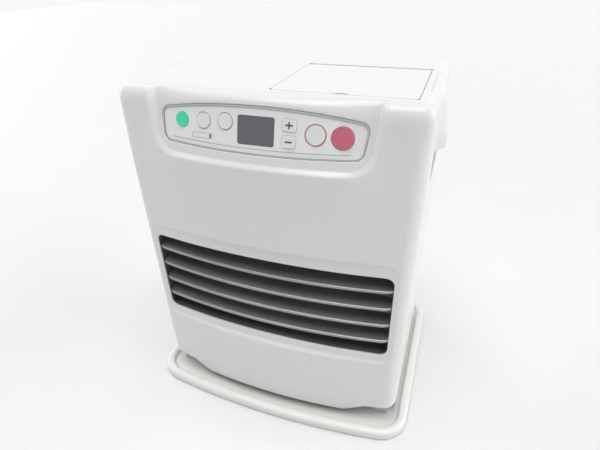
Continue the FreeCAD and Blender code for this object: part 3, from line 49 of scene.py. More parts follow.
def surface(
        name, pale, deep, gloss, grain, depth, wear=None, metal=0.0, coat=0.0, stretch=(1, 1, 1),
        spangle=0):
    """A skin with slow colour changes or spangles, uneven gloss, a fine grain and rubbed edges."""
    material = bpy.data.materials.new(name)
    material.use_nodes = True
    tree = material.node_tree
    shader = tree.nodes["Principled BSDF"]
    shader.inputs["Metallic"].default_value = metal
    shader.inputs["Coat Weight"].default_value = coat
    shader.inputs["Coat Roughness"].default_value = 0.08
    place = tree.nodes.new("ShaderNodeTexCoord")
    spread = tree.nodes.new("ShaderNodeMapping")
    spread.inputs["Scale"].default_value = stretch
    tree.links.new(place.outputs["Object"], spread.inputs["Vector"])
    black, white = (0, 0, 0), (1, 1, 1)

    def noise(scale, detail):
        texture = tree.nodes.new("ShaderNodeTexNoise")
        texture.inputs["Scale"].default_value = scale
        texture.inputs["Detail"].default_value = detail
        tree.links.new(spread.outputs["Vector"], texture.inputs["Vector"])
        return texture.outputs["Fac"]

    def ramp(source, low, high, first, last):
        band = tree.nodes.new("ShaderNodeValToRGB")
        band.color_ramp.elements[0].position = low
        band.color_ramp.elements[1].position = high
        band.color_ramp.elements[0].color = (*first, 1)
        band.color_ramp.elements[1].color = (*last, 1)
        tree.links.new(source, band.inputs["Fac"])
        return band.outputs["Color"]

    if spangle:
        crystals = tree.nodes.new("ShaderNodeTexVoronoi")
        crystals.inputs["Scale"].default_value = spangle
        tree.links.new(spread.outputs["Vector"], crystals.inputs["Vector"])
        colour = ramp(crystals.outputs["Color"], low=0.2, high=0.8, first=deep, last=pale)
    else:
        colour = ramp(noise(scale=11, detail=4), low=0.3, high=0.7, first=deep, last=pale)
    if wear:
        round_edge = tree.nodes.new("ShaderNodeBevel")
        round_edge.inputs["Radius"].default_value = 0.0012
        flat = tree.nodes.new("ShaderNodeNewGeometry")
        turn = tree.nodes.new("ShaderNodeVectorMath")
        turn.operation = "DOT_PRODUCT"
        tree.links.new(round_edge.outputs["Normal"], turn.inputs[0])
        tree.links.new(flat.outputs["Normal"], turn.inputs[1])
        edge = ramp(turn.outputs["Value"], low=0.86, high=0.98, first=white, last=black)
        patch = ramp(noise(scale=140, detail=3), low=0.42, high=0.62, first=black, last=white)
        both = tree.nodes.new("ShaderNodeMath")
        both.operation = "MULTIPLY"
        tree.links.new(edge, both.inputs[0])
        tree.links.new(patch, both.inputs[1])
        rub = tree.nodes.new("ShaderNodeMix")
        rub.data_type = "RGBA"
        rub.inputs["B"].default_value = (*wear, 1)
        tree.links.new(both.outputs["Value"], rub.inputs["Factor"])
        tree.links.new(colour, rub.inputs["A"])
        colour = rub.outputs["Result"]
    tree.links.new(colour, shader.inputs["Base Color"])
    level = tree.nodes.new("ShaderNodeMapRange")
    level.inputs["To Min"].default_value = gloss[0]
    level.inputs["To Max"].default_value = gloss[1]
    tree.links.new(noise(scale=60, detail=5), level.inputs["Value"])
    tree.links.new(level.outputs["Result"], shader.inputs["Roughness"])
    bump = tree.nodes.new("ShaderNodeBump")
    bump.inputs["Strength"].default_value = 0.6
    bump.inputs["Distance"].default_value = depth
    tree.links.new(noise(scale=grain, detail=3), bump.inputs["Height"])
    tree.links.new(bump.outputs["Normal"], shader.inputs["Normal"])
    return material


def dress(material, *names):
    """Gives solid parts their finish."""
    for name in names:
        for slot in nodes[name].material_slots:
            slot.material = material


tray_enamel = surface(
    "tray enamel", pale=(0.84, 0.84, 0.815), deep=(0.825, 0.825, 0.8), gloss=(0.3, 0.37),
    grain=150, depth=0.00002, coat=0.3)
rubber = surface(
    "black rubber", pale=(0.03, 0.03, 0.032), deep=(0.02, 0.02, 0.021), gloss=(0.65, 0.85),
    grain=1500, depth=0.0001)
zinc = surface(
    "zinc plated steel", pale=(0.62, 0.62, 0.60), deep=(0.5, 0.5, 0.49), gloss=(0.28, 0.45),
    grain=700, depth=0.00004, wear=(0.75, 0.75, 0.74), metal=1.0)
dress(tray_enamel, "tray")
dress(rubber, "tray_pads")
dress(zinc, "tray_screws")

# Base pan: pressed galvanised sheet that carries the whole machine, with its spangle left bare.
# Its upstand closes the casing's foot behind the front panel's lower edge.

galvanised = surface(
    "galvanised sheet", pale=(0.62, 0.63, 0.64), deep=(0.44, 0.45, 0.46), gloss=(0.3, 0.5),
    grain=300, depth=0.00003, metal=0.85, spangle=110)
dress(galvanised, "base_pan")

# Fuel group: a tinned sump with a nylon strainer, a level stem with its float, and an
# electromagnetic pump in a turned steel case. A drawn copper pipe takes the fuel from the pump
# to the vaporiser.

tinned = surface(
    "tinned sheet", pale=(0.68, 0.68, 0.67), deep=(0.56, 0.56, 0.55), gloss=(0.2, 0.38),
    grain=400, depth=0.00003, wear=(0.5, 0.49, 0.47), metal=1.0)
nylon = surface(
    "milky nylon", pale=(0.78, 0.77, 0.72), deep=(0.7, 0.69, 0.64), gloss=(0.35, 0.5), grain=900,
    depth=0.00004)
copper = surface(
    "copper tube", pale=(0.78, 0.42, 0.27), deep=(0.55, 0.27, 0.17), gloss=(0.2, 0.42), grain=500,
    depth=0.00003, metal=1.0)
turned = surface(
    "turned steel", pale=(0.6, 0.6, 0.59), deep=(0.48, 0.48, 0.47), gloss=(0.22, 0.4), grain=900,
    depth=0.00003, metal=1.0, stretch=(1, 1, 6))
dress(tinned, "sump")
dress(nylon, "strainer", "float")
dress(turned, "level_stem", "fuel_pump", "pump_plunger")
dress(copper, "fuel_pipe")

# Cartridge tank: a soldered tinplate can that lifts out through the hatch and is filled through
# its screw cap below. The carrying handle on top is a red moulding.

tinplate = surface(
    "tank tinplate", pale=(0.7, 0.7, 0.69), deep=(0.6, 0.6, 0.59), gloss=(0.24, 0.4), grain=260,
    depth=0.00003, wear=(0.82, 0.82, 0.81), metal=0.9, stretch=(1, 1, 0.15))
handle_red = surface(
    "red handle plastic", pale=(0.55, 0.06, 0.05), deep=(0.45, 0.04, 0.035), gloss=(0.3, 0.45),
    grain=900, depth=0.00005, wear=(0.62, 0.16, 0.13))
dress(tinplate, "cartridge_tank")
dress(nylon, "tank_cap")
dress(handle_red, "tank_handle")

# Burner group: a heat-stained steel box round the cast burner, with porcelain electrodes through
# its floor. Below it are the vaporiser, its needle valve and the solenoid that draws the needle
# back.

hot_steel = surface(
    "heat stained steel", pale=(0.2, 0.17, 0.14), deep=(0.09, 0.09, 0.105), gloss=(0.4, 0.6),
    grain=260, depth=0.00005, metal=0.7)
porcelain = surface(
    "porcelain", pale=(0.8, 0.78, 0.74), deep=(0.75, 0.73, 0.69), gloss=(0.12, 0.25), grain=500,
    depth=0.00003, coat=0.5)
dress(hot_steel, "burner_box", "burner", "vaporiser")
dress(porcelain, "igniter", "flame_rod")
dress(turned, "needle_valve", "solenoid")

# Fan group: an axial fan moulded in grey plastic and pressed onto the motor's steel shaft.
# It turns in a pressed galvanised shroud behind the rear panel, whose arms hold the motor.

fan_grey = surface(
    "fan moulding", pale=(0.3, 0.31, 0.32), deep=(0.25, 0.26, 0.27), gloss=(0.4, 0.55), grain=900,
    depth=0.00006)
dress(fan_grey, "fan")
dress(galvanised, "fan_shroud")
dress(turned, "fan_motor", "fan_shaft")

# Electrics: a galvanised plate carries the lacquered main board and the transformer with its
# stacked core. The heat shield is plain steel sheet, stained dark by the burner's heat.

board_lacquer = surface(
    "green board lacquer", pale=(0.05, 0.2, 0.09), deep=(0.03, 0.15, 0.07), gloss=(0.25, 0.4),
    grain=1400, depth=0.00006, spangle=900)
core_steel = surface(
    "stacked core steel", pale=(0.2, 0.2, 0.21), deep=(0.12, 0.12, 0.13), gloss=(0.4, 0.55),
    grain=600, depth=0.00005, metal=0.6, stretch=(1, 8, 1))
dress(galvanised, "electrics_plate")
dress(hot_steel, "heat_shield")
dress(board_lacquer, "main_board")
dress(core_steel, "transformer")

# Casing sheets: folded steel sides and a flat back in baked white enamel, held by four plated
# screws. The cord gland is a rubber bush, and the room sensor sits in a small moulded holder.

enamel = surface(
    "white casing enamel", pale=(0.835, 0.835, 0.82), deep=(0.825, 0.825, 0.81),
    gloss=(0.3, 0.38), grain=150, depth=0.00002, wear=(0.78, 0.78, 0.76), coat=0.25)
guard_grey = surface(
    "grey guard plastic", pale=(0.32, 0.33, 0.34), deep=(0.26, 0.27, 0.28), gloss=(0.4, 0.55),
    grain=900, depth=0.00006, wear=(0.42, 0.43, 0.44))
dress(enamel, "side_panel_left", "side_panel_right", "rear_panel")
dress(zinc, "rear_screws")
dress(rubber, "cord_gland")
dress(guard_grey, "sensor_holder")

# Fan guard and air filter: grey mouldings on the back; the filter's frame carries a woven net
# and slides up out of the guard's rails by its tab.


def piece(name, points, faces, materials, body, replaces=()):
    """A shaped piece, drawn in millimetres, that moves with a body and may stand for solids."""
    mesh = bpy.data.meshes.new(name)
    corners = (np.asarray(points, float) / 1000).tolist()
    mesh.from_pydata(corners, [], [tuple(face) for face in faces])
    mesh.polygons.foreach_set("use_smooth", [True] * len(mesh.polygons))
    for material in materials:
        mesh.materials.append(material)
    mesh.set_sharp_from_angle(angle=math.radians(40))
    made = bpy.data.objects.new(name, mesh)
    bpy.context.scene.collection.objects.link(made)
    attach(made, body)
    if replaces:
        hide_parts(*replaces)
    return made


dress(guard_grey, "fan_guard", "air_filter")
net_grey = surface(
    "woven net", pale=(0.2, 0.205, 0.21), deep=(0.15, 0.155, 0.16), gloss=(0.5, 0.65), grain=2500,
    depth=0.00005)
frame_low, frame_high = (np.array(corner) * 1000 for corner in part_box("air_filter"))
frame_border, frame_tab = 5.0, 14
thread, net_pitch, weave = 0.45, 2.6, 0.3
net_left, net_right = frame_low[0] + frame_border, frame_high[0] - frame_border
net_low, net_high = frame_low[2] + frame_border, frame_high[2] - frame_border - frame_tab
net_middle = (frame_low[1] + frame_high[1]) / 2
net_points = []
net_faces = []


def thread_along(upright, place, over):
    """One thread of the net, waving over and under those that it crosses."""
    start, stop = (net_low, net_high) if upright else (net_left, net_right)
    count = int((stop - start) / net_pitch) * 2
    for step in range(count + 1):
        along = start + (stop - start) * step / count
        wave = net_middle + over * weave * math.cos(math.pi * step / 2)
        for side, lift in ((-1, 0), (0, 1), (1, 0), (0, -1)):
            across = place + side * thread / 2
            depth = wave + lift * thread / 2
            net_points.append((across, depth, along) if upright else (along, depth, across))
        if step:
            first = len(net_points) - 8
            net_faces.extend(
                (first + side, first + (side + 1) % 4, first + 4 + (side + 1) % 4, first + 4 + side)
                for side in range(4))


for index in range(int((net_right - net_left) / net_pitch) + 1):
    thread_along(True, net_left + index * net_pitch, 1 - 2 * (index % 2))
for index in range(int((net_high - net_low) / net_pitch) + 1):
    thread_along(False, net_low + index * net_pitch, 2 * (index % 2) - 1)
piece("filter_net", net_points, net_faces, [net_grey], "filter")

# Louvres: four pressed blades in dark grey heat-proof enamel, bowed like the dish, each with
# a rolled front edge in the same enamel, given a paler metallic skin that paints in its highlight.
# Their ends turn back into a dark sheet sleeve behind the outlet window.


def stepped(*runs):
    """Places along a line, run by run: (from, to, about how far apart)."""
    places = [runs[0][0]]
    for start, stop, step in runs:
        count = max(1, round(abs(stop - start) / step))
        places.extend(start + (stop - start) * index / count for index in range(1, count + 1))
    return np.array(places)


def bow(radius, across):
    """How far a bowed face falls back beside its middle."""
    return radius - np.sqrt(radius * radius - across * across)


def skin(rows, loop=False):
    """Faces between rows of points; in a loop each row's last point meets its first."""
    count, columns = rows.shape[:2]
    number = np.arange(count * columns).reshape(count, columns)
    last = columns if loop else columns - 1
    return [
        (number[row, column], number[row, (column + 1) % columns],
         number[row + 1, (column + 1) % columns], number[row + 1, column])
        for row in range(count - 1) for column in range(last)]


louvre_grey = surface(
    "dark louvre enamel", pale=(0.23, 0.231, 0.236), deep=(0.195, 0.196, 0.2), gloss=(0.28, 0.4),
    grain=600, depth=0.00003)
# A paler, metallic copy of the louvre enamel for the rolled edges: a painted highlight.
louvre_edge_highlight = surface(
    "louvre edge painted highlight", pale=(0.3, 0.305, 0.325), deep=(0.26, 0.265, 0.285), gloss=(0.3, 0.4),
    grain=150, depth=0.00001, metal=0.7, coat=0.3)
sleeve_grey = surface(
    "sleeve enamel", pale=(0.16, 0.16, 0.164), deep=(0.135, 0.135, 0.139), gloss=(0.4, 0.55),
    grain=500, depth=0.00003)
dress(sleeve_grey, "louvre_frame")
blade_half, blade_front, blade_rear = 151.8, -122.3, -94.3
blade_radius, blade_bend, end_x = 1090.0, 30.0, 136.0
blade_slope = math.tan(math.radians(15))
edge_roll, edge_thick, thinning, edge_strips = 2, 2.0, 0.7, 5
blade_count, first_blade, blade_pitch = 4, 147.5, 25
end_lean = math.asin(end_x / (blade_radius - blade_bend))
last_lean = math.asin((blade_half - end_x) / blade_bend)
end_y = blade_front + blade_radius - (blade_radius - blade_bend) * math.cos(end_lean)
lead_x = stepped((0, blade_radius * math.sin(end_lean), 4.0))
end_turn = stepped((end_lean, last_lean, 0.06))[1:]
lead = [(x, blade_front + bow(blade_radius, x), x / blade_radius) for x in lead_x]
lead += [
    (end_x + blade_bend * math.sin(turn), end_y - blade_bend * math.cos(turn), turn)
    for turn in end_turn]
lead = np.array([(-x, y, -turn) for x, y, turn in lead[:0:-1]] + lead)


def blade_side(sign):
    """One skin of a blade, from the middle of its rolled edge to its back edge."""
    strips = []
    for reach in (0, 0.12, 0.4, 0.85, 1.4, 2.1):
        x = lead[:, 0] - reach * np.sin(lead[:, 2])
        y = lead[:, 1] + reach * np.cos(lead[:, 2])
        short = 1 - min(reach, edge_roll) / edge_roll
        strips.append((x, y, math.sqrt(max(0, 1 - short ** 2))))
    x, y, _ = strips[-1]
    strips += [(x, y + (blade_rear - y) * share, 1.0) for share in (0.12, 0.4, 0.7, 1.0)]
    rows = []
    for x, y, swell in strips:
        depth = (y - blade_front) / (blade_rear - blade_front)
        z = (y - blade_front) * blade_slope + sign * swell * (edge_thick - thinning * depth)
        rows.append(np.stack([x, y, z], -1))
    return rows


under, upper = blade_side(-1), blade_side(1)
blade_rows = np.array([upper[-1]] + under[::-1] + upper[1:])
blade_faces = skin(blade_rows)
blade_columns = blade_rows.shape[1] - 1
nose_highlight_strips = range(len(under) - edge_strips, len(under) + edge_strips)
for index in range(blade_count):
    lift = np.array([0, 0, first_blade + blade_pitch * index])
    blade = piece(
        f"louvre_{index + 1}", blade_rows.reshape(-1, 3) + lift, blade_faces,
        [louvre_grey, louvre_edge_highlight], "casing", [f"louvre_blade_{index + 1}"])
    # The strips round each rolled edge take the paler metallic skin, the painted highlight.
    blade.data.polygons.foreach_set(
        "material_index", [int(face // blade_columns in nose_highlight_strips) for face in range(len(blade_faces))])

# Front panel: one injection moulding in white plastic, bowed across, with a rounded top edge,
# the console's U-shaped recess, a shallow dish round the outlet and a dipped lower edge.
# It hooks over the casing's front and is screwed on from inside.


def rounded(points, radii, turn=math.radians(6)):
    """A closed outline with each of its corners rounded."""
    loop = []
    for index, point in enumerate(points):
        here = Vector(point)
        back = (Vector(points[index - 1]) - here).normalized()
        on = (Vector(points[(index + 1) % len(points)]) - here).normalized()
        if not radii[index]:
            loop.append(here)
            continue
        half_angle = math.acos(max(-1, min(1, back.dot(on)))) / 2
        centre = here + (back + on).normalized() * (radii[index] / math.sin(half_angle))
        first = here + back * (radii[index] / math.tan(half_angle)) - centre
        sweep = math.pi - 2 * half_angle
        side = 1 if back.x * on.y - back.y * on.x < 0 else -1
        count = max(2, round(sweep / turn))
        for step in range(count + 1):
            angle = side * sweep * step / count
            cosine, sine = math.cos(angle), math.sin(angle)
            aside = first.x * cosine - first.y * sine
            along = first.x * sine + first.y * cosine
            loop.append(centre + Vector((aside, along)))
    return np.array([(point.x, point.y) for point in loop])


def oblong(left, right, low, high, corners):
    """A rounded oblong, with its corner radii from the lower left round to the upper left."""
    return rounded([(left, low), (right, low), (right, high), (left, high)], corners)


def inside_by(across, along, loop):
    """How far points lie inside a closed outline, and the nearest point on it."""
    speck = 1e-12
    best = np.full(across.shape, np.inf)
    near_across = np.zeros(across.shape)
    near_along = np.zeros(across.shape)
    within = np.zeros(across.shape, bool)
    for start, stop in zip(loop, np.roll(loop, -1, axis=0)):
        run = stop - start
        length = run @ run
        if length < speck:
            continue
        reach = (across - start[0]) * run[0] + (along - start[1]) * run[1]
        share = np.clip(reach / length, 0, 1)
        foot_across = start[0] + share * run[0]
        foot_along = start[1] + share * run[1]
        apart = np.hypot(across - foot_across, along - foot_along)
        closer = apart < best
        best = np.where(closer, apart, best)
        near_across = np.where(closer, foot_across, near_across)
        near_along = np.where(closer, foot_along, near_along)
        if abs(run[1]) > speck:
            crosses = (start[1] > along) != (stop[1] > along)
            within ^= crosses & (across < start[0] + (along - start[1]) / run[1] * run[0])
    return np.where(within, best, -best), near_across, near_along


def eased(amount):
    """A soft step from 0 to 1."""
    amount = np.clip(amount, 0, 1)
    return amount * amount * (3 - 2 * amount)


panel_half, panel_front, panel_radius, panel_corner = 168.0, -128.5, 800.0, 18.0
panel_seam, panel_top = -92.0, 429.0
corner_x = panel_half - panel_corner
corner_lean = math.asin(corner_x / (panel_radius - panel_corner))
bow_centre = panel_front + panel_radius
corner_y = bow_centre - (panel_radius - panel_corner) * math.cos(corner_lean)
tangent_x = panel_radius * math.sin(corner_lean)

# Its columns run from one side seam round the front to the other.
right_x = stepped((0, 98, 2.0), (98, 131, 1.0), (131, 146, 1.9), (146, tangent_x, 0.8))[1:]
front_turn = np.arcsin(np.concatenate([-right_x[::-1], [0], right_x]) / panel_radius)
corner_turn = stepped((corner_lean, math.pi / 2, 0.07))[1:]
return_y = stepped((corner_y, panel_seam, 1.3))[1:]
side_turn = np.concatenate([corner_turn, np.full(len(return_y), math.pi / 2)])
side_x = np.full(len(side_turn), corner_x)
side_y = np.concatenate([np.full(len(corner_turn), corner_y), return_y])
side_radius = np.full(len(side_turn), panel_corner)
blank = np.zeros(len(front_turn))
column_x = np.concatenate([-side_x, blank, side_x])
column_y = np.concatenate([side_y[::-1], blank + bow_centre, side_y])
column_radius = np.concatenate([side_radius, blank + panel_radius, side_radius])
column_turn = np.concatenate([-side_turn[::-1], front_turn, side_turn])


def shell(inset):
    """The panel's plan outline, drawn in by an inset, one for each row and column."""
    reach = column_radius - inset
    return column_x + reach * np.sin(column_turn), column_y - reach * np.cos(column_turn)


# Its rows run from the lower edge up the front and over the top edge to the cover's seam.
foot_top, shoulder, side_round, front_round = 45, 350, 12, 26
side_top = panel_top - side_round
foot = stepped((0, 1, 0.045))[:, None]
front_z = stepped(
    (foot_top, 108, 3.2), (108, 140, 1.0), (140, 234, 3.6), (234, 268, 1.0), (268, shoulder, 3.2),
    (shoulder, side_top, 1.0))[1:, None]
over = stepped((0, 1, 0.05))[1:, None]
back = stepped((0, 1, 0.2))[1:, None]
plain_x, plain_y = shell(0)
frontal = np.cos(column_turn) ** 2
lean_low, lean_span, lean_blend, lean_rate = 338, 67, 20, 0.14


def leaning(height):
    """How far the upper front leans back, most of all in the horns beside the recess."""
    horns = eased((np.abs(plain_x) - 80) / 40)
    corners = eased((np.abs(plain_x) - 125) / 30)
    share = 0.35 + 0.65 * horns - 0.5 * corners
    above = np.clip(height - lean_low, 0, lean_span)
    bent = lean_rate / (2 * lean_blend) * above ** 2
    straight = lean_rate * (above - lean_blend / 2)
    return np.where(above < lean_blend, bent, straight) * share * frontal


edge_round = side_round + (front_round - side_round) * frontal
top_flat, edge_least, edge_most = 2, 8, 14
seam_room = panel_seam - top_flat - plain_y - leaning(panel_top)
edge_depth = np.clip(seam_room / np.maximum(np.cos(column_turn), 0.3), edge_least, edge_most)
middle_foot, corner_foot, tuck_height, tuck_depth = 15, 28, 8, 4.2
low_z = middle_foot + (corner_foot - middle_foot) * eased((np.abs(plain_x) - 97) / 38)
raised = np.clip((front_z - shoulder) / (side_top - shoulder), 0, 1)
straight_z = np.vstack([
    low_z + foot * (foot_top - low_z), front_z - raised * (edge_round - side_round)])
tucked = np.clip(1 - (straight_z - low_z) / tuck_height, 0, 1)
straight_x, straight_y = shell(tuck_depth * tucked ** 2)

# The dish round the outlet is flatter than the panel, so it is deepest in the middle.
dish_half, dish_low, dish_high, dish_edge = 154.5, 117.6, 264.5, 5
dish_front, dish_radius, dish_end_depth = -123.6, 1090.0, 0.7
dish = oblong(-dish_half, dish_half, dish_low, dish_high, [14, 14, 18, 18])
dish_in, _, _ = inside_by(straight_x, straight_z, dish)


def dish_face(across):
    """The dish's own bowed face, a little deeper towards its ends."""
    ends = eased((np.abs(across) - 80) / 55)
    return dish_front + bow(dish_radius, across) + dish_end_depth * ends


dish_y = dish_face(np.clip(straight_x, -dish_half, dish_half))
sunk = eased(dish_in / dish_edge + 0.5)
straight_y = straight_y + sunk * np.maximum(dish_y - straight_y, 0)

# Above the recess's lower lip the console's own bowed, leaning face takes over.
console_lean = math.radians(75.5)
lean_y, lean_z = math.cos(console_lean), math.sin(console_lean)
console_y, console_z, console_radius = -115.8, 403.7, 645.0
fall = -bow(console_radius, plain_x)


def on_console(rise, out):
    """Depth and height of a place that far up the console's face and that far out of it."""
    return console_y + lean_y * rise - lean_z * out, console_z + lean_z * rise + lean_y * out


straight_rise = (straight_z - console_z - lean_y * fall) / lean_z
quarter = over * math.pi / 2
over_x, over_y = shell(
    frontal * edge_depth * over ** 2 + (1 - frontal) * side_round * (1 - np.cos(quarter)))
over_z = panel_top - edge_round * (
    frontal * (1 - over) ** 2 + (1 - frontal) * (1 - np.sin(quarter)))
straight_y = straight_y + leaning(straight_z)
over_y = over_y + leaning(over_z)
brow_rise = (panel_top - console_z - lean_y * fall) / lean_z
brow_y, _ = on_console(brow_rise, fall)
film_top, film_radius, film_half = 17.9, 763.0, 113.5
film_rise = film_top - bow(film_radius, np.minimum(np.abs(plain_x), film_half))
brow_flat, brow_least, brow_most, brow_share = 0.6, 1, 14, 0.7
brow_depth = np.clip(panel_seam - brow_flat - brow_y, brow_least, brow_most)
brow_run = brow_share * (brow_rise - film_rise + brow_depth)
start_rise = np.minimum(straight_rise[-1], film_rise + 0.5 * brow_run)
row_gap, rows_to_go = 0.3, np.arange(len(straight_z))[::-1, None]
straight_rise = np.minimum(straight_rise, start_rise - row_gap * rows_to_go)
over_rise = start_rise + (film_rise + brow_run - start_rise) * over


def rolled(rise):
    """The console's face up to the film's upper edge, from there rolled into the flat top."""
    along = np.clip((rise - film_rise) / brow_run, 0, 1)
    y, z = on_console(np.minimum(rise, film_rise), fall)
    bend, end = 2 * along * (1 - along), along ** 2
    return (y + bend * (brow_y - y) + end * (brow_y + brow_depth - y),
            z + bend * (panel_top - z) + end * (panel_top - z))


console_straight_y, console_straight_z = rolled(straight_rise)
console_over_y, console_over_z = rolled(over_rise)
back_x = np.repeat(over_x[-1:], len(back), 0)
back_y = over_y[-1] + (panel_seam - over_y[-1]) * back
back_z = np.full(back_x.shape, panel_top)
console_back_y = console_over_y[-1] + (panel_seam - console_over_y[-1]) * back
panel_x = np.vstack([straight_x, over_x, back_x])
panel_y = np.vstack([straight_y, over_y, back_y])
panel_z = np.vstack([straight_z, over_z, back_z])
face_x = np.repeat(plain_x[None], len(panel_x), 0)
face_y = np.vstack([console_straight_y, console_over_y, console_back_y])
face_z = np.vstack([console_straight_z, console_over_z, back_z])
face_rise = np.vstack([straight_rise, over_rise, over_rise[-1] + back * 20])
recess_low, recess_radius, recess_half, recess_corner = -42.1, 1850.0, 117, 25
horn_half, horn_rise = 140, 157.2
lip_x = stepped((-88, 88, 8))
lip_line = [(x, recess_low + bow(recess_radius, x)) for x in (-recess_half, *lip_x, recess_half)]
recess = rounded(
    [*lip_line, (horn_half, horn_rise), (-horn_half, horn_rise)],
    [recess_corner, *[0] * len(lip_x), recess_corner, 0, 0])
recess_in, _, _ = inside_by(face_x, face_rise, recess)
bead_height, bead_width, softness = 2.0, 16, 0.45
proud = bead_height * (1 - eased((np.abs(face_x) - 70) / 45))
panel_y = panel_y - proud * eased(1 + recess_in / bead_width)
lip_narrow, lip_wide = 5.5, 8.0
lip_width = lip_narrow + (lip_wide - lip_narrow) * eased((np.abs(face_x) - 95) / 20)
climb = np.clip(recess_in / lip_width + 0.5, 0, 1)
share = (1 - softness) * climb + softness * eased(climb)
panel_x = panel_x + share * (face_x - panel_x)
panel_y = panel_y + share * (face_y - panel_y)
panel_z = panel_z + share * (face_z - panel_z)


# The outlet window and the film's pocket are trimmed out, and the trimmed edges drawn onto
# the outlines.
def film_outline(grow):
    """The control film's lens shape, larger all round by some millimetres."""
    low, high, low_radius = -29.3 - grow, 15.7 + grow, 1300.0
    low_half, half, corner = 107 + grow, 112 + grow, 8 + grow
    low_x = stepped((-92, 92, 8))
    high_x = stepped((98, -98, 7))
    points = [(x, low + bow(low_radius, x)) for x in (-low_half, *low_x, low_half)]
    points += [(x, high - bow(film_radius, x)) for x in (half, *high_x, -half)]
    return rounded(
        points, [corner, *[0] * len(low_x), corner, corner, *[0] * len(high_x), corner])


window_half, window_low, window_high, window_corner = 150.5, 129.4, 246.5, 10
window = oblong(-window_half, window_half, window_low, window_high, [window_corner] * 4)
pocket_gap = 1.5
pocket = film_outline(pocket_gap)
rows, columns = panel_x.shape
keep = np.ones((rows - 1, columns - 1), bool)


def middle(values):
    """Values at the middles of the faces, from those at their corners."""
    return (values[1:, 1:] + values[:-1, 1:] + values[1:, :-1] + values[:-1, :-1]) / 4


def trim(across, along, loop, usable):
    """The faces inside an outline, the corners that its edge runs through, and where to."""
    gap, _, _ = inside_by(middle(across), middle(along), loop)
    gone = (gap > 0) & (middle(usable.astype(float)) > 0.99)
    around = np.zeros(across.shape, int)
    for part in (around[1:, 1:], around[:-1, 1:], around[1:, :-1], around[:-1, :-1]):
        part += gone
    _, to_across, to_along = inside_by(across, along, loop)
    return gone, (around > 0) & (around < 4), to_across, to_along


gone, rim, to_x, to_z = trim(panel_x, panel_z, window, np.abs(panel_x) < tangent_x)
keep &= ~gone
panel_x = np.where(rim, to_x, panel_x)
panel_z = np.where(rim, to_z, panel_z)
panel_y = np.where(rim, dish_face(panel_x), panel_y)
rise_now = (panel_y - console_y) * lean_y + (panel_z - console_z) * lean_z
gone, rim, to_x, to_rise = trim(panel_x, rise_now, pocket, share > 0.98)
keep &= ~gone
panel_x = np.where(rim, to_x, panel_x)
pocket_y, pocket_z = on_console(to_rise, -bow(console_radius, panel_x))
panel_y = np.where(rim, pocket_y, panel_y)
panel_z = np.where(rim, pocket_z, panel_z)
number = np.arange(rows * columns).reshape(rows, columns)
quads = np.stack([number[:-1, :-1], number[:-1, 1:], number[1:, 1:], number[1:, :-1]], -1)[keep]
used, quads = np.unique(quads, return_inverse=True)
points = np.stack([panel_x, panel_y, panel_z], -1).reshape(-1, 3)[used]
panel_plastic = surface(
    "white panel plastic", pale=(0.825, 0.825, 0.81), deep=(0.815, 0.815, 0.8),
    gloss=(0.31, 0.39), grain=170, depth=0.00002, coat=0.25)
panel = piece(
    "front_moulding", points, quads.reshape(-1, 4).tolist(), [panel_plastic], "casing",
    ["front_panel"])
wall = panel.modifiers.new("wall", "SOLIDIFY")
wall.thickness = 0.0024
wall.offset = -1

# Control film: a satin printed sheet in the console's pocket, held by a grey bezel, with the
# tinted display window. Its printed marks are a thin line, a level bar and a ring round each
# white key.

film_satin = surface(
    "printed film", pale=(0.9, 0.905, 0.9), deep=(0.885, 0.89, 0.885), gloss=(0.3, 0.4),
    grain=1200, depth=0.00002)
display_glass = surface(
    "display glass", pale=(0.118, 0.123, 0.135), deep=(0.106, 0.11, 0.12), gloss=(0.1, 0.18),
    grain=300, depth=0.00001, coat=0.3)
switch_black = surface(
    "black switch plastic", pale=(0.03, 0.03, 0.032), deep=(0.02, 0.02, 0.022),
    gloss=(0.35, 0.55), grain=1100, depth=0.00005)
dress(film_satin, "control_film")
dress(display_glass, "display_window")
dress(board_lacquer, "control_board")
dress(switch_black, "key_switches")


def console_spots(flat, depth):
    """Places on a surface that far below the console's face, from places across and up it."""
    across, rise = np.asarray(flat, float).T
    out = np.sqrt((console_radius - depth) ** 2 - across ** 2) - console_radius
    y, z = on_console(rise, out)
    return np.stack([across, y, z], -1)


def drawn_in(loop, inset):
    """A closed outline moved inwards, by an amount for each of its points."""
    along = np.roll(loop, -1, axis=0) - np.roll(loop, 1, axis=0)
    along /= np.hypot(along[:, 0], along[:, 1])[:, None]
    inset = np.broadcast_to(np.asarray(inset, float), (len(loop),))
    return loop + np.stack([-along[:, 1], along[:, 0]], -1) * inset[:, None]


# The bezel's outer gap and inner drop to the film are real grooves; their dark grey colour paints
# the shade that falls in them. The band between them is the bezel's own light grey.
bezel_groove_shade = surface(
    "bezel groove painted shade", pale=(0.24, 0.24, 0.245), deep=(0.2, 0.2, 0.205), gloss=(0.4, 0.55),
    grain=900, depth=0.00002)
bezel_band = surface(
    "bezel band", pale=(0.64, 0.65, 0.655), deep=(0.6, 0.61, 0.615), gloss=(0.25, 0.35),
    grain=900, depth=0.00002)
band_narrow, band_wide = 0.5, 1.6
breadth = band_narrow + (band_wide - band_narrow) * eased((pocket[:, 1] + 12) / 18)
bezel_rows = np.array([
    console_spots(drawn_in(pocket, inset), depth) for inset, depth in (
        (0.02, 1.4), (0.03, 0.5), (0.45, 0.75), (0.55, 0.45), (0.55 + breadth, 0.6),
        (0.6 + breadth, 1.0), (0.95 + breadth, 1.2), (0.96 + breadth, 1.6))])
band_row = 3
bezel_faces = skin(bezel_rows, loop=True)
bezel = piece(
    "film_bezel", bezel_rows.reshape(-1, 3), bezel_faces, [bezel_groove_shade, bezel_band], "casing",
    ["console_bezel"])
bezel.data.polygons.foreach_set(
    "material_index", [int(face // len(pocket) == band_row) for face in range(len(bezel_faces))])
film_depth, ink = 1.5, 0.14


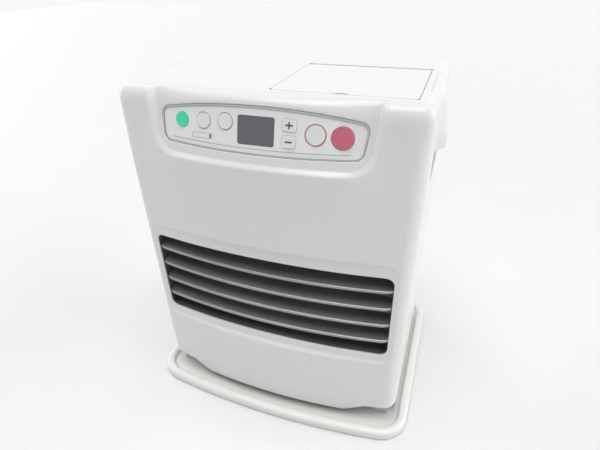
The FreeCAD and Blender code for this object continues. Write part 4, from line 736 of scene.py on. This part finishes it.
def printed(
        name, outside, inside, material, body="casing", height=None, closed=True):
    """An inked mark between two lines, or filling one outline, on the film or a key's flat top."""
    def lay(loop, lift):
        if height is None:
            return console_spots(loop, film_depth - lift)
        y, z = on_console(loop[:, 1], height + lift)
        return np.stack([loop[:, 0], y, z], -1)

    rows = [lay(outside, -ink), lay(outside, ink)]
    if inside is not None:
        rows += [lay(inside, ink), lay(inside, -ink)]
    rows = np.array(rows)
    faces = skin(rows, loop=closed)
    if inside is None:
        faces.append(tuple(range(len(outside), 2 * len(outside))))
    return piece(name, rows.reshape(-1, 3), faces, [material], body)


def circle(x, rise, radius):
    """A ring's line round a place on the film."""
    turns = np.linspace(0, 2 * math.pi, 49)[:-1]
    return np.stack([x + radius * np.cos(turns), rise + radius * np.sin(turns)], -1)


def bar(x, rise, width, height, corner):
    """A rounded bar's line round a place on the film."""
    half, tall = width / 2, height / 2
    return oblong(x - half, x + half, rise - tall, rise + tall, [corner] * 4)


def inked(name, pale, deep):
    """A thin satin layer of printing ink."""
    return surface(name, pale, deep, gloss=(0.35, 0.45), grain=1500, depth=0.00001)


grey_ink = inked("grey ink", pale=(0.36, 0.37, 0.38), deep=(0.32, 0.33, 0.34))
blue_ink = inked("blue grey ink", pale=(0.33, 0.39, 0.43), deep=(0.29, 0.35, 0.39))
pink_ink = inked("pink ink", pale=(0.62, 0.24, 0.27), deep=(0.57, 0.21, 0.24))
dark_ink = inked("dark ink", pale=(0.06, 0.062, 0.068), deep=(0.048, 0.05, 0.055))
for name, x, rise, outside, inside, tint in (
        ("timer_ring", -58.0, -1.7, 8.7, 8.1, grey_ink),
        ("lock_ring", -32.5, -0.5, 8.9, 8.3, grey_ink),
        ("extend_ring", 61.9, -5.7, 10.7, 9.75, pink_ink)):
    printed(name, circle(x, rise, outside), circle(x, rise, inside), tint)
level_x, level_rise = -60.0, -16.9
printed(
    "level_bar", bar(level_x, level_rise, width=24.0, height=5.6, corner=1.0),
    bar(level_x, level_rise, width=23.2, height=4.8, corner=0.6), blue_ink)
printed(
    "level_end", bar(-50.2, level_rise, width=1.7, height=3.8, corner=0.4), None, dark_ink)
line_x = stepped((-98, 96, 6))
line_low, line_radius, line_half = -24.7, 1400.0, 0.25
line_rise = line_low + bow(line_radius, line_x)
printed(
    "film_line", np.stack([line_x, line_rise - line_half], -1),
    np.stack([line_x, line_rise + line_half], -1), blue_ink, closed=False)

# Keys: crowned caps of coloured plastic that stand through the film and press on the switches
# of the control board. The two step keys carry their plus and minus signs.


def key_plastic(name, pale, deep):
    """Coloured plastic, moulded smooth and bright."""
    return surface(name, pale, deep, gloss=(0.25, 0.35), grain=900, depth=0.00002, coat=0.3)


key_green = key_plastic("green key", pale=(0.055, 0.8, 0.45), deep=(0.048, 0.77, 0.425))
key_white = key_plastic("white key", pale=(0.85, 0.86, 0.86), deep=(0.83, 0.84, 0.84))
key_pink = key_plastic("pink key", pale=(0.64, 0.15, 0.22), deep=(0.6, 0.13, 0.195))
dress(key_green, "eco_key")
dress(key_white, "timer_key", "lock_key", "extend_key", "plus_key", "minus_key")
dress(key_pink, "run_key")
step_x, plus_rise, minus_rise, step_height = 36.0, 1.4, -14.4, 1.0
step_top = -bow(console_radius, step_x) - film_depth + step_height
arm, tall_arm, stroke = 3.7, 3.2, 0.75
plus_sign = np.array([
    (-arm, -stroke), (-stroke, -stroke), (-stroke, -tall_arm), (stroke, -tall_arm),
    (stroke, -stroke), (arm, -stroke), (arm, stroke), (stroke, stroke), (stroke, tall_arm),
    (-stroke, tall_arm), (-stroke, stroke), (-arm, stroke)]) + (step_x, plus_rise)
minus_sign = bar(step_x, minus_rise, width=7.0, height=1.5, corner=0.3)
printed("plus_sign", plus_sign, None, dark_ink, "plus_key_cap", step_top)
printed("minus_sign", minus_sign, None, dark_ink, "minus_key_cap", step_top)

# Top cover: one white moulding over the casing, with the hatch for the tank.
# The tank's lid is the same plastic and turns on two plated steel pins at its rear edge.

cover_plastic = surface(
    "white cover plastic", pale=(0.845, 0.845, 0.83), deep=(0.835, 0.835, 0.82),
    gloss=(0.32, 0.4), grain=170, depth=0.00002, coat=0.2)
dress(cover_plastic, "top_cover", "tank_lid")
dress(zinc, "lid_hinge_pins")

# Carry grips: a white moulded cup let into each side, with a lip that the fingers go behind.
# The lip swells out of the side's own outline and back into it, so neither of its ends stands
# proud.


def evenly(points, count):
    """The same line with its points spread evenly."""
    points = np.asarray(points, float)
    along = np.concatenate([[0], np.cumsum(np.hypot(*np.diff(points, axis=0).T))])
    spread = np.linspace(0, along[-1], count)
    return np.stack([np.interp(spread, along, line) for line in points.T], -1)


grip_front, grip_rear, grip_columns, cup_points = -50, 30, 44, 3
swollen = rounded(
    [(158, 370), (158, panel_top), (169, panel_top), (178.5, 382), (178.5, 370)],
    [0, 0, 9, 9, 0])[1:]
side_line = [
    (panel_half - side_round + side_round * math.sin(turn), side_top + side_round * math.cos(turn))
    for turn in np.linspace(math.asin(2 / side_round), math.pi / 2, 12)]
full = np.vstack([
    evenly(swollen, grip_columns),
    [(178.1, 368.7), (176.5, 368), (174.9, 368.7), (174.5, 370), (174.5, 382)],
    [(165, 409), (149, 409), (149, 331)]])
flush = np.vstack([
    evenly([*side_line, (panel_half, 370)], grip_columns),
    [(167.95, 368.6), (167.7, 368), (167.5, 368.2), (167.4, 370), (167.3, 382)],
    [(167.2, 409), (166.8, 409), (167.9, 331)]])
grip_back = [(panel_half, 329.8), (panel_half, 322), (147, 322), (147, 412), (158, 412)]


def between(y, margin, run):
    """Grows from 0 to 1 behind the grip's front end and falls again before its rear end."""
    return eased((y - grip_front - margin) / run) * eased((grip_rear - margin - y) / run)


grip_rows = []
for y in stepped((grip_front, -30, 1.2), (-30, 10, 4), (10, grip_rear, 1.2)):
    swell = between(y, margin=0.5, run=18)
    hollow = between(y, margin=2.5, run=4)
    weight = np.array([swell] * (len(full) - cup_points) + [hollow] * cup_points)[:, None]
    outline = np.vstack([flush + weight * (full - flush), grip_back])
    grip_rows.append([(x, y, z) for x, z in outline])
grip_rows = np.array(grip_rows)
around = grip_rows.shape[1]
total = len(grip_rows) * around
grip_faces = skin(grip_rows, loop=True)
grip_faces += [tuple(range(around))[::-1], tuple(range(total - around, total))]
for label, side in (("left", -1), ("right", 1)):
    piece(
        f"grip_{label}", grip_rows.reshape(-1, 3) * (side, 1, 1),
        [face[::side] for face in grip_faces], [cover_plastic], "casing",
        [f"carry_grip_{label}"])

# Studio: a plain pale floor under wide soft lamps, one overhead, one on the right and a weaker
# one on the left. A pale sky fills the shadows, and the camera stands where the photograph was
# taken.

floor_half = 6
floor_mesh = bpy.data.meshes.new("floor")
floor_mesh.from_pydata(
    [(-floor_half, -floor_half, 0), (floor_half, -floor_half, 0), (floor_half, floor_half, 0),
     (-floor_half, floor_half, 0)], [], [(0, 1, 2, 3)])
floor = bpy.data.objects.new("floor", floor_mesh)
bpy.context.scene.collection.objects.link(floor)
floor_mesh.materials.append(surface(
    "pale floor", pale=(0.83, 0.83, 0.83), deep=(0.82, 0.82, 0.82), gloss=(0.6, 0.7), grain=200,
    depth=0.0001))
for name, energy, width, tilt, turn in (
        ("top lamp", 2.1, 50, 8, 0), ("right lamp", 1.45, 60, -10, 68),
        ("left lamp", 1.0, 60, -10, -68)):
    lamp_data = bpy.data.lights.new(name, "SUN")
    lamp_data.energy = energy
    lamp_data.angle = math.radians(width)
    lamp = bpy.data.objects.new(name, lamp_data)
    lamp.rotation_euler = (math.radians(tilt), math.radians(turn), 0)
    bpy.context.scene.collection.objects.link(lamp)
world = bpy.data.worlds.new("studio")
bpy.context.scene.world = world
world.use_nodes = True
tree = world.node_tree
sky = tree.nodes["Background"]
sky.inputs["Color"].default_value = (0.97, 0.985, 1, 1)
sky.inputs["Strength"].default_value = 0.15
seen = tree.nodes.new("ShaderNodeBackground")
seen.inputs["Color"].default_value = (0.93, 0.94, 0.95, 1)
path = tree.nodes.new("ShaderNodeLightPath")
shown = path.outputs["Is Camera Ray"]
for kind in ("Is Glossy Ray", "Is Transmission Ray"):
    either = tree.nodes.new("ShaderNodeMath")
    either.operation = "MAXIMUM"
    tree.links.new(shown, either.inputs[0])
    tree.links.new(path.outputs[kind], either.inputs[1])
    shown = either.outputs["Value"]
choose = tree.nodes.new("ShaderNodeMixShader")
tree.links.new(shown, choose.inputs["Fac"])
tree.links.new(sky.outputs["Background"], choose.inputs[1])
tree.links.new(seen.outputs["Background"], choose.inputs[2])
tree.links.new(choose.outputs["Shader"], tree.nodes["World Output"].inputs["Surface"])
bpy.context.scene.view_settings.view_transform = "Standard"
image_width, focal, sensor_width = 600, 433.49, 36
stand = (0.1828, -0.48539, 0.53851)
yaw, pitch, roll = 0.3565, 0.5494, -0.0254
camera_data = bpy.data.cameras.new("camera")
camera_data.sensor_width = sensor_width
camera_data.lens = focal * sensor_width / image_width
camera = bpy.data.objects.new("camera", camera_data)
ahead = Vector((
    -math.sin(yaw) * math.cos(pitch), math.cos(yaw) * math.cos(pitch), -math.sin(pitch)))
level_right = Vector((math.cos(yaw), math.sin(yaw), 0))
level_up = level_right.cross(ahead)
right = level_right * math.cos(roll) + level_up * math.sin(roll)
up = level_up * math.cos(roll) - level_right * math.sin(roll)
facing = Matrix((right, up, -ahead)).transposed().to_4x4()
camera.matrix_world = Matrix.Translation(stand) @ facing
bpy.context.scene.collection.objects.link(camera)
bpy.context.scene.camera = camera
